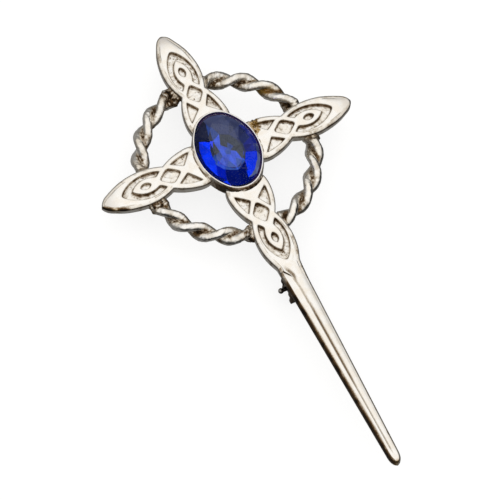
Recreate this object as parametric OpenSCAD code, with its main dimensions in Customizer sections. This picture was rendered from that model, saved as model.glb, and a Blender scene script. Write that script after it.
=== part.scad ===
// Kilt pin: a cast cross with knotwork leaf arms, a roped ring, an oval blue stone
// in a raised setting and a long tapered shaft, with a needle and a turning safety
// catch soldered on behind. Millimetres.
// The pin lies face up. Z = 0 is the plane that the hinge and the catch stand on,
// Y runs along the shaft towards the upper arm, and X = 0 is the middle of the pin.
// The origin is below the middle of the whole pin.

/* [Arms] */
// Upper arm, from the middle of the stone to the tip of its leaf
arm_top = 30.8; // [29:0.1:36]
// Lower arm, from the middle of the stone to the tip of its leaf
arm_low = 31.8; // [30:0.1:36]
// Side arm, from the middle of the stone to the tip of its leaf
arm_side = 29.0; // [28:0.1:34]
// Degrees that the upper arm leans to the left, as cast
top_lean = 1.0; // [0:0.1:2]
// Degrees that the right arm leans upwards, as cast
side_lean = 0.7; // [0:0.1:2]
// Leaf at the end of an arm, from the waist to its tip
leaf_l = 15.2; // [14:0.1:16]
// Width of the leaf at its widest
leaf_w = 8.0; // [7.4:0.1:9]
// Width of an arm at its waist
waist_w = 5.6; // [5.2:0.1:6.4]
// Width of an arm at its widest beside the stone
flare_w = 9.6; // [9:0.1:10.4]
// Distance from the waist in to the widest place beside the stone
flare_run = 7.0; // [6:0.1:8]
// Thickness of the casting
cast_t = 2.7; // [2.5:0.1:3.6]
// How far the face of an arm falls towards its edges
arm_crown = 0.45; // [0.2:0.05:0.7]
// How far the face of an arm falls towards its tip
tip_fall = 0.6; // [0.4:0.1:1]

/* [Knotwork] */
// Depth of the pockets between the strands
pocket_d = 0.75; // [0.4:0.05:1.2]
// Width of the border round the pockets
border_w = 1.05; // [0.8:0.05:1.3]
// Width of a strand between two pockets
strand_w = 1.0; // [0.8:0.05:1.15]
// Width of the pocket that bends round the eye
crescent_w = 1.05; // [0.8:0.05:1.2]
// Plain metal between that pocket and the tip of the leaf
tip_plain = 4.3; // [3.5:0.1:5]
// Length of the eye
eye_l = 2.7; // [2:0.1:3.2]
// Diamond pocket at the waist, across
diamond_w = 3.3; // [2.8:0.1:3.6]
// Diamond pocket at the waist, along the arm
diamond_l = 4.3; // [3.8:0.1:4.6]
// Middle of the diamond pocket, in from the waist
diamond_in = 0.4; // [0.2:0.05:0.8]
// Pocket beside the stone, along the arm
wedge_l = 4.3; // [3.6:0.1:4.8]

/* [Ring] */
// Middle of the rope, from the middle of the stone
ring_r = 18.2; // [17.4:0.1:19]
// Thickness of one of the rope's two strands
rope_strand_d = 2.3; // [2:0.1:2.6]
// Distance of a strand's middle from the middle of the rope
rope_strand_off = 0.85; // [0.6:0.05:0.95]
// Full turns of the rope round the whole ring
rope_turns = 10; // [8:1:12]
// Middle of the rope below the face of the arms
ring_drop = 3.0; // [2.6:0.1:3.2]
// Width of the plain bar that the rope becomes behind an arm
bar_w = 3.8; // [3:0.1:4.2]
// Height of that bar
bar_t = 2.8; // [2.4:0.1:3]
// Distance from an arm over which the rope turns into the bar
bar_run = 2.0; // [1.2:0.1:3]

/* [Shaft] */
// Tip of the shaft, from the middle of the stone
shaft_reach = 77.2; // [60:0.1:95]
// Shaft where it leaves the lower leaf
shaft_top_w = 5.4; // [4.6:0.1:5.8]
// Shaft just before its rounded tip
shaft_tip_w = 2.5; // [2.2:0.1:3.4]
// Ridge of the shaft below the face of the arms
shaft_drop = 0.7; // [0.4:0.05:0.9]
// How far the shaft's face falls from its ridge to its edge at the top
shaft_crown = 1.0; // [0.6:0.1:1.3]

/* [Setting and stone] */
// Stone, along the pin
stone_l = 18; // [17:0.1:19]
// Stone, across the pin
stone_w = 13; // [12:0.1:13.6]
// Rim round the stone
rim_w = 0.5; // [0.4:0.05:0.8]
// Rim above the face of the arms
rim_h = 0.9; // [0.8:0.1:1.4]
// Gap round the stone in its setting
stone_gap = 0.08; // [0.05:0.01:0.12]
// Width of the ledge that carries the stone
ledge_w = 0.9; // [0.7:0.05:1.2]
// Metal below the stone
cup_floor = 0.6; // [0.5:0.1:0.9]
// Height of the stone above its widest part
crown_h = 1.9; // [1.2:0.1:2.4]
// Thickness of the stone's edge
girdle_t = 0.4; // [0.3:0.05:0.6]
// Depth of the stone below its edge
pavilion_d = 2.1; // [1.6:0.1:2.1]
// Edge of the stone below the top of the rim
girdle_sink = 0.3; // [0.2:0.05:0.35]
// Table of the stone as a share of its width and length
table_share = 0.58; // [0.45:0.01:0.65]

/* [Back fittings] */
// Back of the casting above the plane that the fittings stand on
fitting_h = 6.4; // [6.3:0.1:7]
// Needle and catch axis above that plane
axis_h = 3.8; // [3.75:0.05:3.9]
// Width of the hinge and of the catch
fitting_w = 4.2; // [3.9:0.1:4.8]
// Middle of the hinge, above the middle of the stone
hinge_at = 13; // [11:0.5:16]
// Length of the hinge along the pin
hinge_l = 3.2; // [3.1:0.1:4]
// Middle of the catch, below the middle of the stone
catch_at = 31.3; // [31:0.1:40]
// Length of the catch along the pin
catch_l = 4.2; // [4:0.1:5]
// Thickness of each cheek of the catch
cheek_t = 0.9; // [0.7:0.05:1]
// Width of the catch's foot
foot_w = 3.2; // [2.6:0.1:3.8]
// Diameter of the needle
needle_d = 1.0; // [0.9:0.05:1.1]
// How far the needle's point passes the catch
needle_past = 1.6; // [1:0.1:3]
// Length of the needle's point
point_l = 3; // [2:0.5:5]
// Diameter of the needle's eye at the hinge
knuckle_d = 2.9; // [2.6:0.1:3]
// Thickness of the needle's eye
knuckle_t = 1.3; // [1.1:0.1:1.5]
// Diameter of the needle's pivot
pivot_d = 1.2; // [1:0.05:1.3]
// Diameter of the catch's turning barrel in its cheeks
barrel_d = 2.7; // [2.6:0.05:2.8]
// Diameter of the barrel's collar
collar_d = 3.8; // [3.5:0.1:3.9]
// Diameter of the barrel's bore
barrel_bore_d = 1.5; // [1.4:0.05:1.6]
// Reach of the lever's ball from the barrel's axis
lever_reach = 3.7; // [3:0.05:3.7]
// Diameter of the lever
lever_d = 0.9; // [0.7:0.05:1]
// Diameter of the ball on the lever
lever_ball_d = 1.2; // [1:0.05:1.4]
// Running clearance on the radius of a turning or pivoting piece
run_gap = 0.05; // [0.02:0.01:0.08]
// Gap beside a piece that turns between two walls
side_gap = 0.1; // [0.06:0.01:0.15]
// Room on each side of the needle in a slot
needle_room = 0.1; // [0.05:0.01:0.15]

/* [Hidden] */
$fn = 64;
embed = 0.4;
far = 60;
mid_y = (shaft_reach - arm_top) / 2;
back_z = fitting_h;
face_z = back_z + cast_t;
rim_z = face_z + rim_h;
ring_z = face_z - ring_drop;

// Leaf: a pointed oval through the waist, of half length leaf_a
leaf_neck = (leaf_w - waist_w) / leaf_w;
leaf_half = leaf_w / 2;
leaf_cut = leaf_half - waist_w / 2;
leaf_run = pow(leaf_l, 2) - leaf_half * leaf_cut + pow(leaf_cut, 2);
leaf_a = (leaf_l - sqrt(pow(leaf_l, 2) - (1 - leaf_neck) * leaf_run)) / (1 - leaf_neck);

// Flare: a wide pointed oval through the waist
flare_cut = (flare_w - waist_w) / 2;
flare_r = (pow(flare_run, 2) + pow(flare_cut, 2)) / (2 * flare_cut);
flare_a = sqrt(pow(flare_r, 2) - pow(flare_r - flare_w / 2, 2));

// Knotwork, each form inside the one before: half lengths, half widths and, for the
// loop and the eye, the distance from the leaf's tip
CRESCENT_SHARE = 0.58;
LOOP_SHARE = 0.57;
LOOP_SET_BACK = 0.33;
EYE_SHIFT = 0.1;
crescent_half = leaf_half - border_w;
crescent_a = (leaf_l - tip_plain) * CRESCENT_SHARE;
loop_half = crescent_half - crescent_w;
loop_a = crescent_a * LOOP_SHARE;
loop_in = tip_plain + crescent_a * LOOP_SET_BACK + loop_a;
eye_half = loop_half - strand_w;
eye_in = loop_in - loop_a * EYE_SHIFT;

// Pocket beside the stone: its end by the waist, its inner corner and its bulge
WEDGE_IN = 1.9;
WEDGE_MID = 0.95;
WEDGE_CORNER = 0.42;
WEDGE_BULGE = 0.25;
WEDGE_BORDER = 0.85;
wedge_side = flare_w / 2 - border_w;
wedge_tip = waist_w / 2 - border_w * WEDGE_BORDER;

// Oval of the stone: four arcs, two round the ends and two along the sides
OVAL_END_SHARE = 0.377;
oval_end_r = stone_w * OVAL_END_SHARE;
oval_end_at = stone_l / 2 - oval_end_r;
oval_slim = stone_w / 2 - oval_end_r;
oval_side_at = (pow(oval_end_at, 2) - pow(oval_slim, 2)) / (2 * oval_slim);
oval_turn = atan2(oval_end_at, oval_side_at);

// Stone levels
girdle_top_z = rim_z - girdle_sink;
girdle_z = girdle_top_z - girdle_t;
table_z = girdle_top_z + crown_h;
pavilion_slope = pavilion_d / (stone_w / 2);
ledge_z = girdle_z - ledge_w * pavilion_slope - stone_gap;

// Rows of the stone's corners: share of the oval, share of the height, corners
STONE_SIDES = 32;
CROWN_ROW = [0.80, 0.58, 8];
PAVILION_ROW = [0.62, 0.52, 16];
KEEL_ROW = [0.18, 1, 4];
TABLE_SIDES = 8;

// Crown of the arms, which also fall towards their tips, and of the shaft
arm_crown_r = (pow(leaf_half, 2) + pow(arm_crown, 2)) / (2 * arm_crown);
FALL_RUN = leaf_l + 4;
FALL_TURN = 8;
TIP_ROUNDING = 0.52;
SHAFT_START = 6;
shaft_crown_r = (pow(shaft_top_w / 2, 2) + pow(shaft_crown, 2)) / (2 * shaft_crown);

// Rope: points round its double section and sections for each full turn
ROPE_SIDES = 16;
ROPE_STEPS = 16;
rope_phase = 44;
strand_r = rope_strand_d / 2;

// Direction and length of each arm, and where its face starts inside the setting
ARMS = [[top_lean, arm_top, 5.5], [90, arm_side, 4],
        [180, arm_low, 5.5], [270 + side_lean, arm_side, 4]];

// Half width of the body under an arm's face, wider than any arm
FACE_HALF = 5.3;

catch_y = -catch_at;
gap_l = catch_l - 2 * cheek_t;
collar_l = gap_l - 2 * side_gap;
slot_w = needle_d + 2 * needle_room;
NEEDLE_POINT_D = 0.15;

metal = [0.86, 0.84, 0.81];
wire = [0.72, 0.71, 0.70];
glass = [0.03, 0.08, 0.62];

// Pointed oval between two arcs, of half length a and half width b
module lens(a, b) {
    r = (pow(a, 2) + pow(b, 2)) / (2 * b);
    intersection() {
        translate([r - b, 0]) circle(r, $fn = 96);
        translate([b - r, 0]) circle(r, $fn = 96);
    }
}

// Oval of four arcs, grown by g all round
module oval(g = 0) {
    side_r = oval_side_at + stone_w / 2 + g;
    end_r = oval_end_r + g;
    join_y = side_r * sin(oval_turn);
    for (s = [-1, 1]) translate([0, s * oval_end_at]) circle(end_r, $fn = 96);
    intersection() {
        translate([oval_side_at, 0]) circle(side_r, $fn = 128);
        translate([-oval_side_at, 0]) circle(side_r, $fn = 128);
        square([stone_w + 2 * g + 1, 2 * join_y], center = true);
    }
}

// Distance from the middle to the stone's oval in direction t, shrunk by g
function oval_reach(t, g = 0) =
    let(from_end = abs(abs(((t % 360) + 360) % 360 - 180) - 90))
    let(join = atan2((oval_side_at + stone_w / 2) * sin(oval_turn),
                     (oval_side_at + stone_w / 2) * cos(oval_turn) - oval_side_at))
    90 - from_end > join
        ? oval_end_at * cos(90 - from_end - 90) + sqrt(pow(oval_end_r - g, 2)
              - pow(oval_end_at * sin(90 - from_end - 90), 2))
        : sqrt(pow(oval_side_at + stone_w / 2 - g, 2)
              - pow(oval_side_at * sin(90 - from_end), 2))
              - oval_side_at * cos(90 - from_end);

// Outline of one arm, pointing along Y
module arm_outline(reach) {
    waist = reach - leaf_l;
    intersection() {
        translate([0, reach - leaf_a]) lens(leaf_a, leaf_half);
        translate([-leaf_w, waist - embed]) square([2 * leaf_w, leaf_l + 2 * embed]);
    }
    intersection() {
        translate([0, waist - flare_run]) lens(flare_a, flare_w / 2);
        translate([-flare_w, waist - flare_run - 4])
            square([2 * flare_w, flare_run + 4]);
    }
}

// Pocket round the eye: a pointed oval less the loop and the crossing strands
module crescent(reach) {
    waist = reach - leaf_l;
    side = atan2(diamond_w / 2, diamond_l / 2);
    cross_y = waist - diamond_in + diamond_l / 2 + strand_w / sin(side);
    difference() {
        translate([0, reach - tip_plain - crescent_a]) lens(crescent_a, crescent_half);
        translate([0, reach - loop_in]) lens(loop_a, loop_half);
        polygon([[0, cross_y], [far * sin(side), cross_y - far * cos(side)],
                 [-far * sin(side), cross_y - far * cos(side)]]);
    }
}

// Pockets of one arm, pointing along Y
module arm_pockets(reach) {
    waist = reach - leaf_l;
    diamond_y = waist - diamond_in;
    wedge_in = waist - WEDGE_IN - wedge_l;
    crescent(reach);
    translate([0, reach - eye_in]) lens(eye_l / 2, eye_half);
    polygon([[0, diamond_y + diamond_l / 2], [diamond_w / 2, diamond_y],
             [0, diamond_y - diamond_l / 2], [-diamond_w / 2, diamond_y]]);
    for (s = [-1, 1])
        polygon([[s * wedge_side, wedge_in],
                 [s * WEDGE_MID, wedge_in + wedge_l * WEDGE_CORNER],
                 [s * wedge_tip, wedge_in + wedge_l],
                 [s * (wedge_side - WEDGE_BULGE), wedge_in + wedge_l / 2]]);
}

// Body under the face of one arm, which falls towards the edges and the tip. It is
// wider than the arm and reaches below it, and the outline of the cross trims it.
module arm_face(reach, start) {
    fall_r = (pow(FALL_RUN, 2) + pow(tip_fall, 2)) / (2 * tip_fall);
    intersection() {
        translate([-FACE_HALF, start, back_z - embed])
            cube([2 * FACE_HALF, reach - start + 1, 2 * cast_t]);
        translate([0, reach - FALL_RUN, face_z - fall_r]) rotate([0, -90, 0])
            rotate([0, 0, -FALL_TURN]) rotate_extrude(angle = 2 * FALL_TURN, $fn = 720)
                translate([fall_r - arm_crown_r, 0]) circle(arm_crown_r, $fn = 128);
    }
}

// Outline of the shaft: a tapered bar with a rounded tip
module shaft_outline() {
    top = arm_low - SHAFT_START;
    tip_r = shaft_tip_w * TIP_ROUNDING;
    intersection() {
        polygon([[-shaft_top_w / 2, -top], [shaft_top_w / 2, -top],
                 [shaft_tip_w / 2, -shaft_reach - 1], [-shaft_tip_w / 2, -shaft_reach - 1]]);
        union() {
            translate([0, tip_r - shaft_reach]) circle(tip_r);
            translate([-shaft_top_w, tip_r - shaft_reach])
                square([2 * shaft_top_w, shaft_reach - tip_r]);
        }
    }
}

// Body under the crowned face of the shaft
module shaft_face() {
    translate([0, -arm_low + SHAFT_START, face_z - shaft_drop - shaft_crown_r])
        rotate([90, 0, 0])
            cylinder(r = shaft_crown_r, h = shaft_reach - arm_low + SHAFT_START + 1, $fn = 96);
}

// Cross, setting and shaft: the outline of all three, as thick as their faces are high
module cross() {
    intersection() {
        translate([0, 0, back_z]) linear_extrude(rim_z - back_z) {
            for (a = ARMS) rotate(a[0]) arm_outline(a[1]);
            oval(stone_gap + rim_w);
            shaft_outline();
        }
        union() {
            for (a = ARMS) rotate([0, 0, a[0]]) arm_face(a[1], a[2]);
            translate([0, 0, back_z - embed]) linear_extrude(2 * cast_t + rim_h)
                oval(stone_gap + rim_w);
            shaft_face();
        }
    }
}

// Half width of the rope's double section in direction a
function rope_reach(a) = rope_strand_off * abs(cos(a))
    + sqrt(pow(strand_r, 2) - pow(rope_strand_off * sin(a), 2));

// Half width of an arm where the ring meets it
function arm_half_at_ring(reach) =
    let(r = (pow(leaf_a, 2) + pow(leaf_half, 2)) / (2 * leaf_half))
    sqrt(pow(r, 2) - pow(ring_r - reach + leaf_a, 2)) - r + leaf_half;

// Distance along the ring from ring angle t to the nearest edge of an arm
function from_arm(t) = min([for (a = ARMS)
    let(turn = abs((t - a[0] - 90 + 900) % 360 - 180))
    turn * PI / 180 * ring_r - arm_half_at_ring(a[1])]);

// Share of the plain bar in the rope's section, at distance d from an arm's edge
function bar_share(d) = let(u = min(1, max(0, d / bar_run))) 1 - u * u * (3 - 2 * u);

// One point of the rope at ring angle t, point k of its section, with share w of the bar
function rope_point(t, k, w) =
    let(a = 360 * k / ROPE_SIDES, turn = a + rope_turns * t + rope_phase)
    let(wide = rope_reach(a) * (1 - w) + bar_w / 2 * w)
    let(high = rope_reach(a) * (1 - w) + bar_t / 2 * w)
    let(out = ring_r + wide * cos(turn))
    [out * cos(t), out * sin(t), ring_z + high * sin(turn)];

// Ring: a closed two-strand rope that runs behind the arms as a plain bar
module ring() {
    steps = rope_turns * ROPE_STEPS;
    points = [for (i = [0:steps - 1])
        let(t = 360 * i / steps, w = bar_share(from_arm(t)))
        for (k = [0:ROPE_SIDES - 1]) rope_point(t, k, w)];
    walls = [for (i = [0:steps - 1], k = [0:ROPE_SIDES - 1], h = [0, 1])
        let(a = i * ROPE_SIDES, b = (i + 1) % steps * ROPE_SIDES, n = (k + 1) % ROPE_SIDES)
        h == 0 ? [a + k, b + n, b + k] : [a + k, a + n, b + n]];
    polyhedron(points, walls, convexity = 6);
}

// Seat of the stone, cut from the setting
module stone_seat() {
    translate([0, 0, ledge_z]) linear_extrude(rim_z - ledge_z + 1) oval(stone_gap);
    translate([0, 0, back_z + cup_floor]) linear_extrude(rim_z - back_z) oval(-ledge_w);
}

// Hinge that the needle's pivot sits in, soldered to the back of the upper arm
module hinge() {
    slot = knuckle_t + 2 * side_gap;
    difference() {
        translate([-fitting_w / 2, hinge_at - hinge_l / 2, 0])
            cube([fitting_w, hinge_l, back_z + embed]);
        translate([-slot / 2, hinge_at - hinge_l, -1])
            cube([slot, 2 * hinge_l, axis_h + knuckle_d / 2 + side_gap + 1]);
        translate([-fitting_w, hinge_at, axis_h]) rotate([0, 90, 0])
            cylinder(d = pivot_d + 2 * run_gap, h = 2 * fitting_w);
    }
}

// Outline of a cheek of the catch, seen along the pin, with the axis at the origin
module cheek_outline() {
    difference() {
        union() {
            circle(d = fitting_w);
            translate([-fitting_w / 2, 0]) square([fitting_w, back_z - axis_h + embed]);
            translate([-foot_w / 2, -axis_h]) square([foot_w, axis_h]);
        }
        circle(d = barrel_d + 2 * run_gap);
        translate([0, -slot_w / 2]) square([fitting_w, slot_w]);
    }
}

// Catch: two open cheeks that hold the barrel, soldered to the back of the shaft
module catch() {
    plate_z = axis_h + collar_d / 2 + side_gap;
    for (y = [catch_y + catch_l / 2, catch_y - catch_l / 2 + cheek_t])
        translate([0, y, axis_h]) rotate([90, 0, 0])
            linear_extrude(cheek_t) cheek_outline();
    translate([-fitting_w / 2, catch_y - catch_l / 2, plate_z])
        cube([fitting_w, catch_l, back_z + embed - plate_z]);
}

// Everything cast or soldered in one piece
module casting() {
    color(metal) translate([0, mid_y, 0]) {
        difference() {
            union() {
                cross();
                ring();
                hinge();
                catch();
            }
            translate([0, 0, face_z - pocket_d]) linear_extrude(pocket_d + 1)
                for (a = ARMS) rotate(a[0]) arm_pockets(a[1]);
            stone_seat();
        }
    }
}

// Pyramid on one ring of the stone's corners: share of its oval, height, corners, turn
module stone_ring(share, z, sides, turn) {
    corners = [for (k = [0:sides - 1])
        let(t = 360 * (k + turn) / sides, r = share * oval_reach(t))
        [r * cos(t), r * sin(t), z]];
    heart = (girdle_z + girdle_top_z) / 2;
    fan = [for (k = [0:sides - 1]) z > heart
        ? [k, sides, (k + 1) % sides] : [k, (k + 1) % sides, sides]];
    cap = [for (k = [0:sides - 1]) z > heart ? k : sides - 1 - k];
    polyhedron(concat(corners, [[0, 0, heart]]), concat(fan, [cap]));
}

// Oval stone with a flat table, three rows of crown facets and a cut underside
module stone() {
    color(glass) translate([0, mid_y, 0]) hull() {
        stone_ring(table_share, table_z, TABLE_SIDES, 0.5);
        stone_ring(CROWN_ROW[0], girdle_top_z + crown_h * CROWN_ROW[1], CROWN_ROW[2], 0);
        stone_ring(1, girdle_top_z, STONE_SIDES, 0.5);
        stone_ring(1, girdle_z, STONE_SIDES, 0.5);
        for (row = [PAVILION_ROW, KEEL_ROW])
            stone_ring(row[0], girdle_z - pavilion_d * row[1], row[2], 0.5);
    }
}

// Needle: one plain piece with its pivot, its eye, the wire and the point
module needle() {
    wire_end = catch_at + catch_l / 2 + needle_past;
    color(wire) translate([0, mid_y, axis_h]) {
        translate([-fitting_w / 2, hinge_at, 0]) rotate([0, 90, 0])
            cylinder(d = pivot_d, h = fitting_w);
        translate([-knuckle_t / 2, hinge_at, 0]) rotate([0, 90, 0])
            cylinder(d = knuckle_d, h = knuckle_t);
        translate([0, hinge_at, 0]) rotate([90, 0, 0])
            cylinder(d = needle_d, h = hinge_at + wire_end - point_l);
        translate([0, point_l - wire_end, 0]) rotate([90, 0, 0])
            cylinder(d1 = needle_d, d2 = NEEDLE_POINT_D, h = point_l);
    }
}

// Barrel of the catch: it turns about the needle and its slot lets the needle out
module catch_barrel() {
    length = catch_l - 2 * side_gap;
    color(metal) translate([0, mid_y + catch_y, axis_h]) difference() {
        union() {
            rotate([90, 0, 0]) cylinder(d = barrel_d, h = length, center = true);
            rotate([90, 0, 0]) cylinder(d = collar_d, h = collar_l, center = true);
            translate([-lever_reach + lever_ball_d / 2, 0, 0]) {
                rotate([0, 90, 0]) cylinder(d = lever_d, h = lever_reach / 2);
                sphere(d = lever_ball_d);
            }
        }
        rotate([90, 0, 0]) cylinder(d = barrel_bore_d, h = catch_l + 2, center = true);
        translate([-slot_w / 2, -catch_l, -collar_d]) cube([slot_w, 2 * catch_l, collar_d]);
    }
}

casting();
stone();
needle();
catch_barrel();
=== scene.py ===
"""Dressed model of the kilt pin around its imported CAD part.

The casting is shown by numpy surfaces: four leaf arms (the lower one runs on into the
shaft), a two-strand rope ring, the stone's setting, the hinge and the two cheeks of the
catch. The stone, the needle and the catch's barrel get surfaces of their own too.
Sizes in the classes are millimetres in the part's own frame; meshes are written in
metres. Heights are measured from the plane that the back fittings stand on.
"""

import logging
import math
from dataclasses import dataclass, field
from enum import Enum

import bmesh
import bpy
import numpy as np
from mathutils import Matrix, Vector


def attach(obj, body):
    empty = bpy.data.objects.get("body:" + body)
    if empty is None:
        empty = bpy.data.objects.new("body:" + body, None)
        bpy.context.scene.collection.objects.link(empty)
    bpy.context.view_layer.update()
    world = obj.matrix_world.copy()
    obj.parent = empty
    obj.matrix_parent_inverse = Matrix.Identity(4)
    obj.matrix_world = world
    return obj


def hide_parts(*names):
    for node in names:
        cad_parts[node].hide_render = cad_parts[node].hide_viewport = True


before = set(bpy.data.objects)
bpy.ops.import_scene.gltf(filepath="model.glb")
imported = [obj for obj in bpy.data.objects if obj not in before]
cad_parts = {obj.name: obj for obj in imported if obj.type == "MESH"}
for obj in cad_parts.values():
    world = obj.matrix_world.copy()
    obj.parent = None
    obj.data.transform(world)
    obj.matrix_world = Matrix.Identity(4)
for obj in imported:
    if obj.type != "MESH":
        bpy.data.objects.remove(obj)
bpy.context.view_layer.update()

LOG = logging.getLogger("kilt_pin")
MM = 0.001
TAU = 2 * math.pi

# Shared places: the stone's middle, and the heights of the casting's back, the arms'
# face, the setting's rim and the needle's axis.
MIDDLE_Y = 23.2
BACK_Z = 6.4
FACE_Z = 9.1
RIM_Z = 10.0
AXIS_Z = 3.8

# Rounding of the arms' feet, and how far short of a tip the last section stays.
FOOT = 0.25
TIP_STOP = 0.004

# Table length of the noise (a power of two), the factors that spread its cells over the
# table, and a shift that keeps the cells' numbers positive.
NOISE_TABLE = 4096
NOISE_FACTORS = np.array([73856093, 19349663, 83492791])
NOISE_SHIFT = 512.0

# Direction of the pockets' walls before which a painted shadow darkens the floor, and how far it
# reaches.
SHADE_SIDE = (0.53, 0.85)
SHADE_RUN = 0.5

METAL_LAYERS = ("hollow", "grain", "brass", "dull")

Array = np.ndarray
Colour = tuple[float, float, float, float]
Pairs = tuple[tuple[float, float], ...]
Socket = bpy.types.NodeSocket


class Body(Enum):
    """The CAD bodies that pieces ride on."""

    PIN = "pin"
    CATCH = "catch"


class Slot(Enum):
    """The record's material slots."""

    PLATE = "plated_casting"
    GLASS = "blue_glass"
    WIRE = "needle_steel"
    CATCH = "catch_metal"


def ease(low: float, high: float, x: Array) -> Array:
    """Smooth step: 0 up to low, 1 from high on, and 3t^2 - 2t^3 between them.

    Args:
        low: Where the step starts.
        high: Where it ends; below low it falls from 1 to 0 instead.
        x: Values to map.

    Returns:
        The share of the step at each value.
    """
    t = np.clip((x - low) / (high - low), 0, 1)
    return t * t * (3 - 2 * t)


def bump(x: Array, middle: float | Array, width: float | Array) -> Array:
    """Bell curve exp(-((x - middle) / width)^2)."""
    return np.exp(-(((x - middle) / width) ** 2))


def round_max(a: Array, b: Array, k: float) -> Array:
    """Larger of a and b, k / 2 more where they meet: (a + b + sqrt((a - b)^2 + k^2)) / 2."""
    return 0.5 * (a + b + np.sqrt((a - b) ** 2 + k * k))


def soft_max(a: Array, b: Array, k: float) -> Array:
    """round_max less k / 2, which leaves the place where a and b meet as it is."""
    return round_max(a, b, k) - 0.5 * k


def arc_radius(run: float, rise: float) -> float:
    """Radius of an arc that falls by rise over run from its top: (run^2 + rise^2) / 2 rise."""
    return (run**2 + rise**2) / (2 * rise)


def angle_between(a: Array, b: float) -> Array:
    """Smaller angle between the directions a and b: |(a - b + pi) mod 2 pi - pi|."""
    return np.abs((a - b + math.pi) % TAU - math.pi)


def smooth_path(u: Array, knots: Pairs) -> Array:
    """Smooth curve through knots, held level beyond the first and the last one.

    Each span is the cubic (2t^3 - 3t^2 + 1) a + (t^3 - 2t^2 + t) ma + (3t^2 - 2t^3) b +
    (t^3 - t^2) mb, with the slopes ma and mb taken between the knots' neighbours.

    Args:
        u: Where to read the curve.
        knots: Places and values.

    Returns:
        The curve's values.
    """
    at, value = np.array(knots).T
    slope = np.gradient(value, at)
    u = np.clip(u, at[0], at[-1])
    i = np.clip(np.searchsorted(at, u) - 1, 0, len(at) - 2)
    run = at[i + 1] - at[i]
    t = (u - at[i]) / run
    start = (2 * t**3 - 3 * t**2 + 1) * value[i] + (t**3 - 2 * t**2 + t) * run * slope[i]
    return start + (3 * t**2 - 2 * t**3) * value[i + 1] + (t**3 - t**2) * run * slope[i + 1]


def lens_field(x: Array, y: Array, half_l: float, half_w: float, blunt: float = 0.12) -> Array:
    """Distance outside a pointed oval, negative inside it.

    The oval lies between two arcs of radius (a^2 + b^2) / 2b, so the distance is the
    larger one to the two circles, rounded where they cross.

    Args:
        x: Across the oval.
        y: Along the oval from its middle.
        half_l: Half length a.
        half_w: Half width b.
        blunt: How far its two points are rounded.

    Returns:
        Signed distance.
    """
    r = arc_radius(half_l, half_w)
    off = r - half_w
    return round_max(np.hypot(x - off, y), np.hypot(x + off, y), blunt) - r


def lens_half(y: Array, half_l: float, half_w: float) -> Array:
    """Half width of a pointed oval at the distance y from its middle."""
    r = arc_radius(half_l, half_w)
    return np.sqrt(np.maximum(r * r - y * y, 0)) - (r - half_w)


def noise(points: Array, size: float, seed: int) -> Array:
    """Value noise: random numbers on a cubic lattice, blended smoothly between corners.

    Args:
        points: Array whose last axis is x, y, z in millimetres.
        size: Spacing of the lattice.
        seed: Seed of the random numbers.

    Returns:
        Values from -1 to 1 with the points' shape less its last axis.
    """
    table = np.random.default_rng(seed).random(NOISE_TABLE) * 2 - 1
    q = points / size + NOISE_SHIFT
    cell = np.floor(q).astype(np.int64)
    f = q - cell
    f = f * f * (3 - 2 * f)
    total = np.zeros(points.shape[:-1])
    for corner in np.ndindex(2, 2, 2):
        spread = (cell + np.array(corner)) * NOISE_FACTORS
        index = (spread[..., 0] ^ spread[..., 1] ^ spread[..., 2]) & (NOISE_TABLE - 1)
        share = np.prod(np.where(np.array(corner) == 1, f, 1 - f), axis=-1)
        total += table[index] * share
    return total


def layered_noise(points: Array, size: float, seed: int, layers: int = 3) -> Array:
    """Sum of noises, each of half the size and half the height of the one before."""
    return sum(noise(points, size / 2**k, seed + k) / 2**k for k in range(layers))


def crowded(last: float, tip: float, count: int) -> Array:
    """Places from last to tip that crowd towards it: tip - (tip - last) (1 - sin b)."""
    return tip - (tip - last) * (1 - np.sin(np.linspace(0, math.pi / 2, count)))


def add_object(name: str, data: bpy.types.ID) -> bpy.types.Object:
    """Puts a mesh or a camera into the scene, at the origin."""
    obj = bpy.data.objects.new(name, data)
    bpy.context.scene.collection.objects.link(obj)
    return obj


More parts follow.
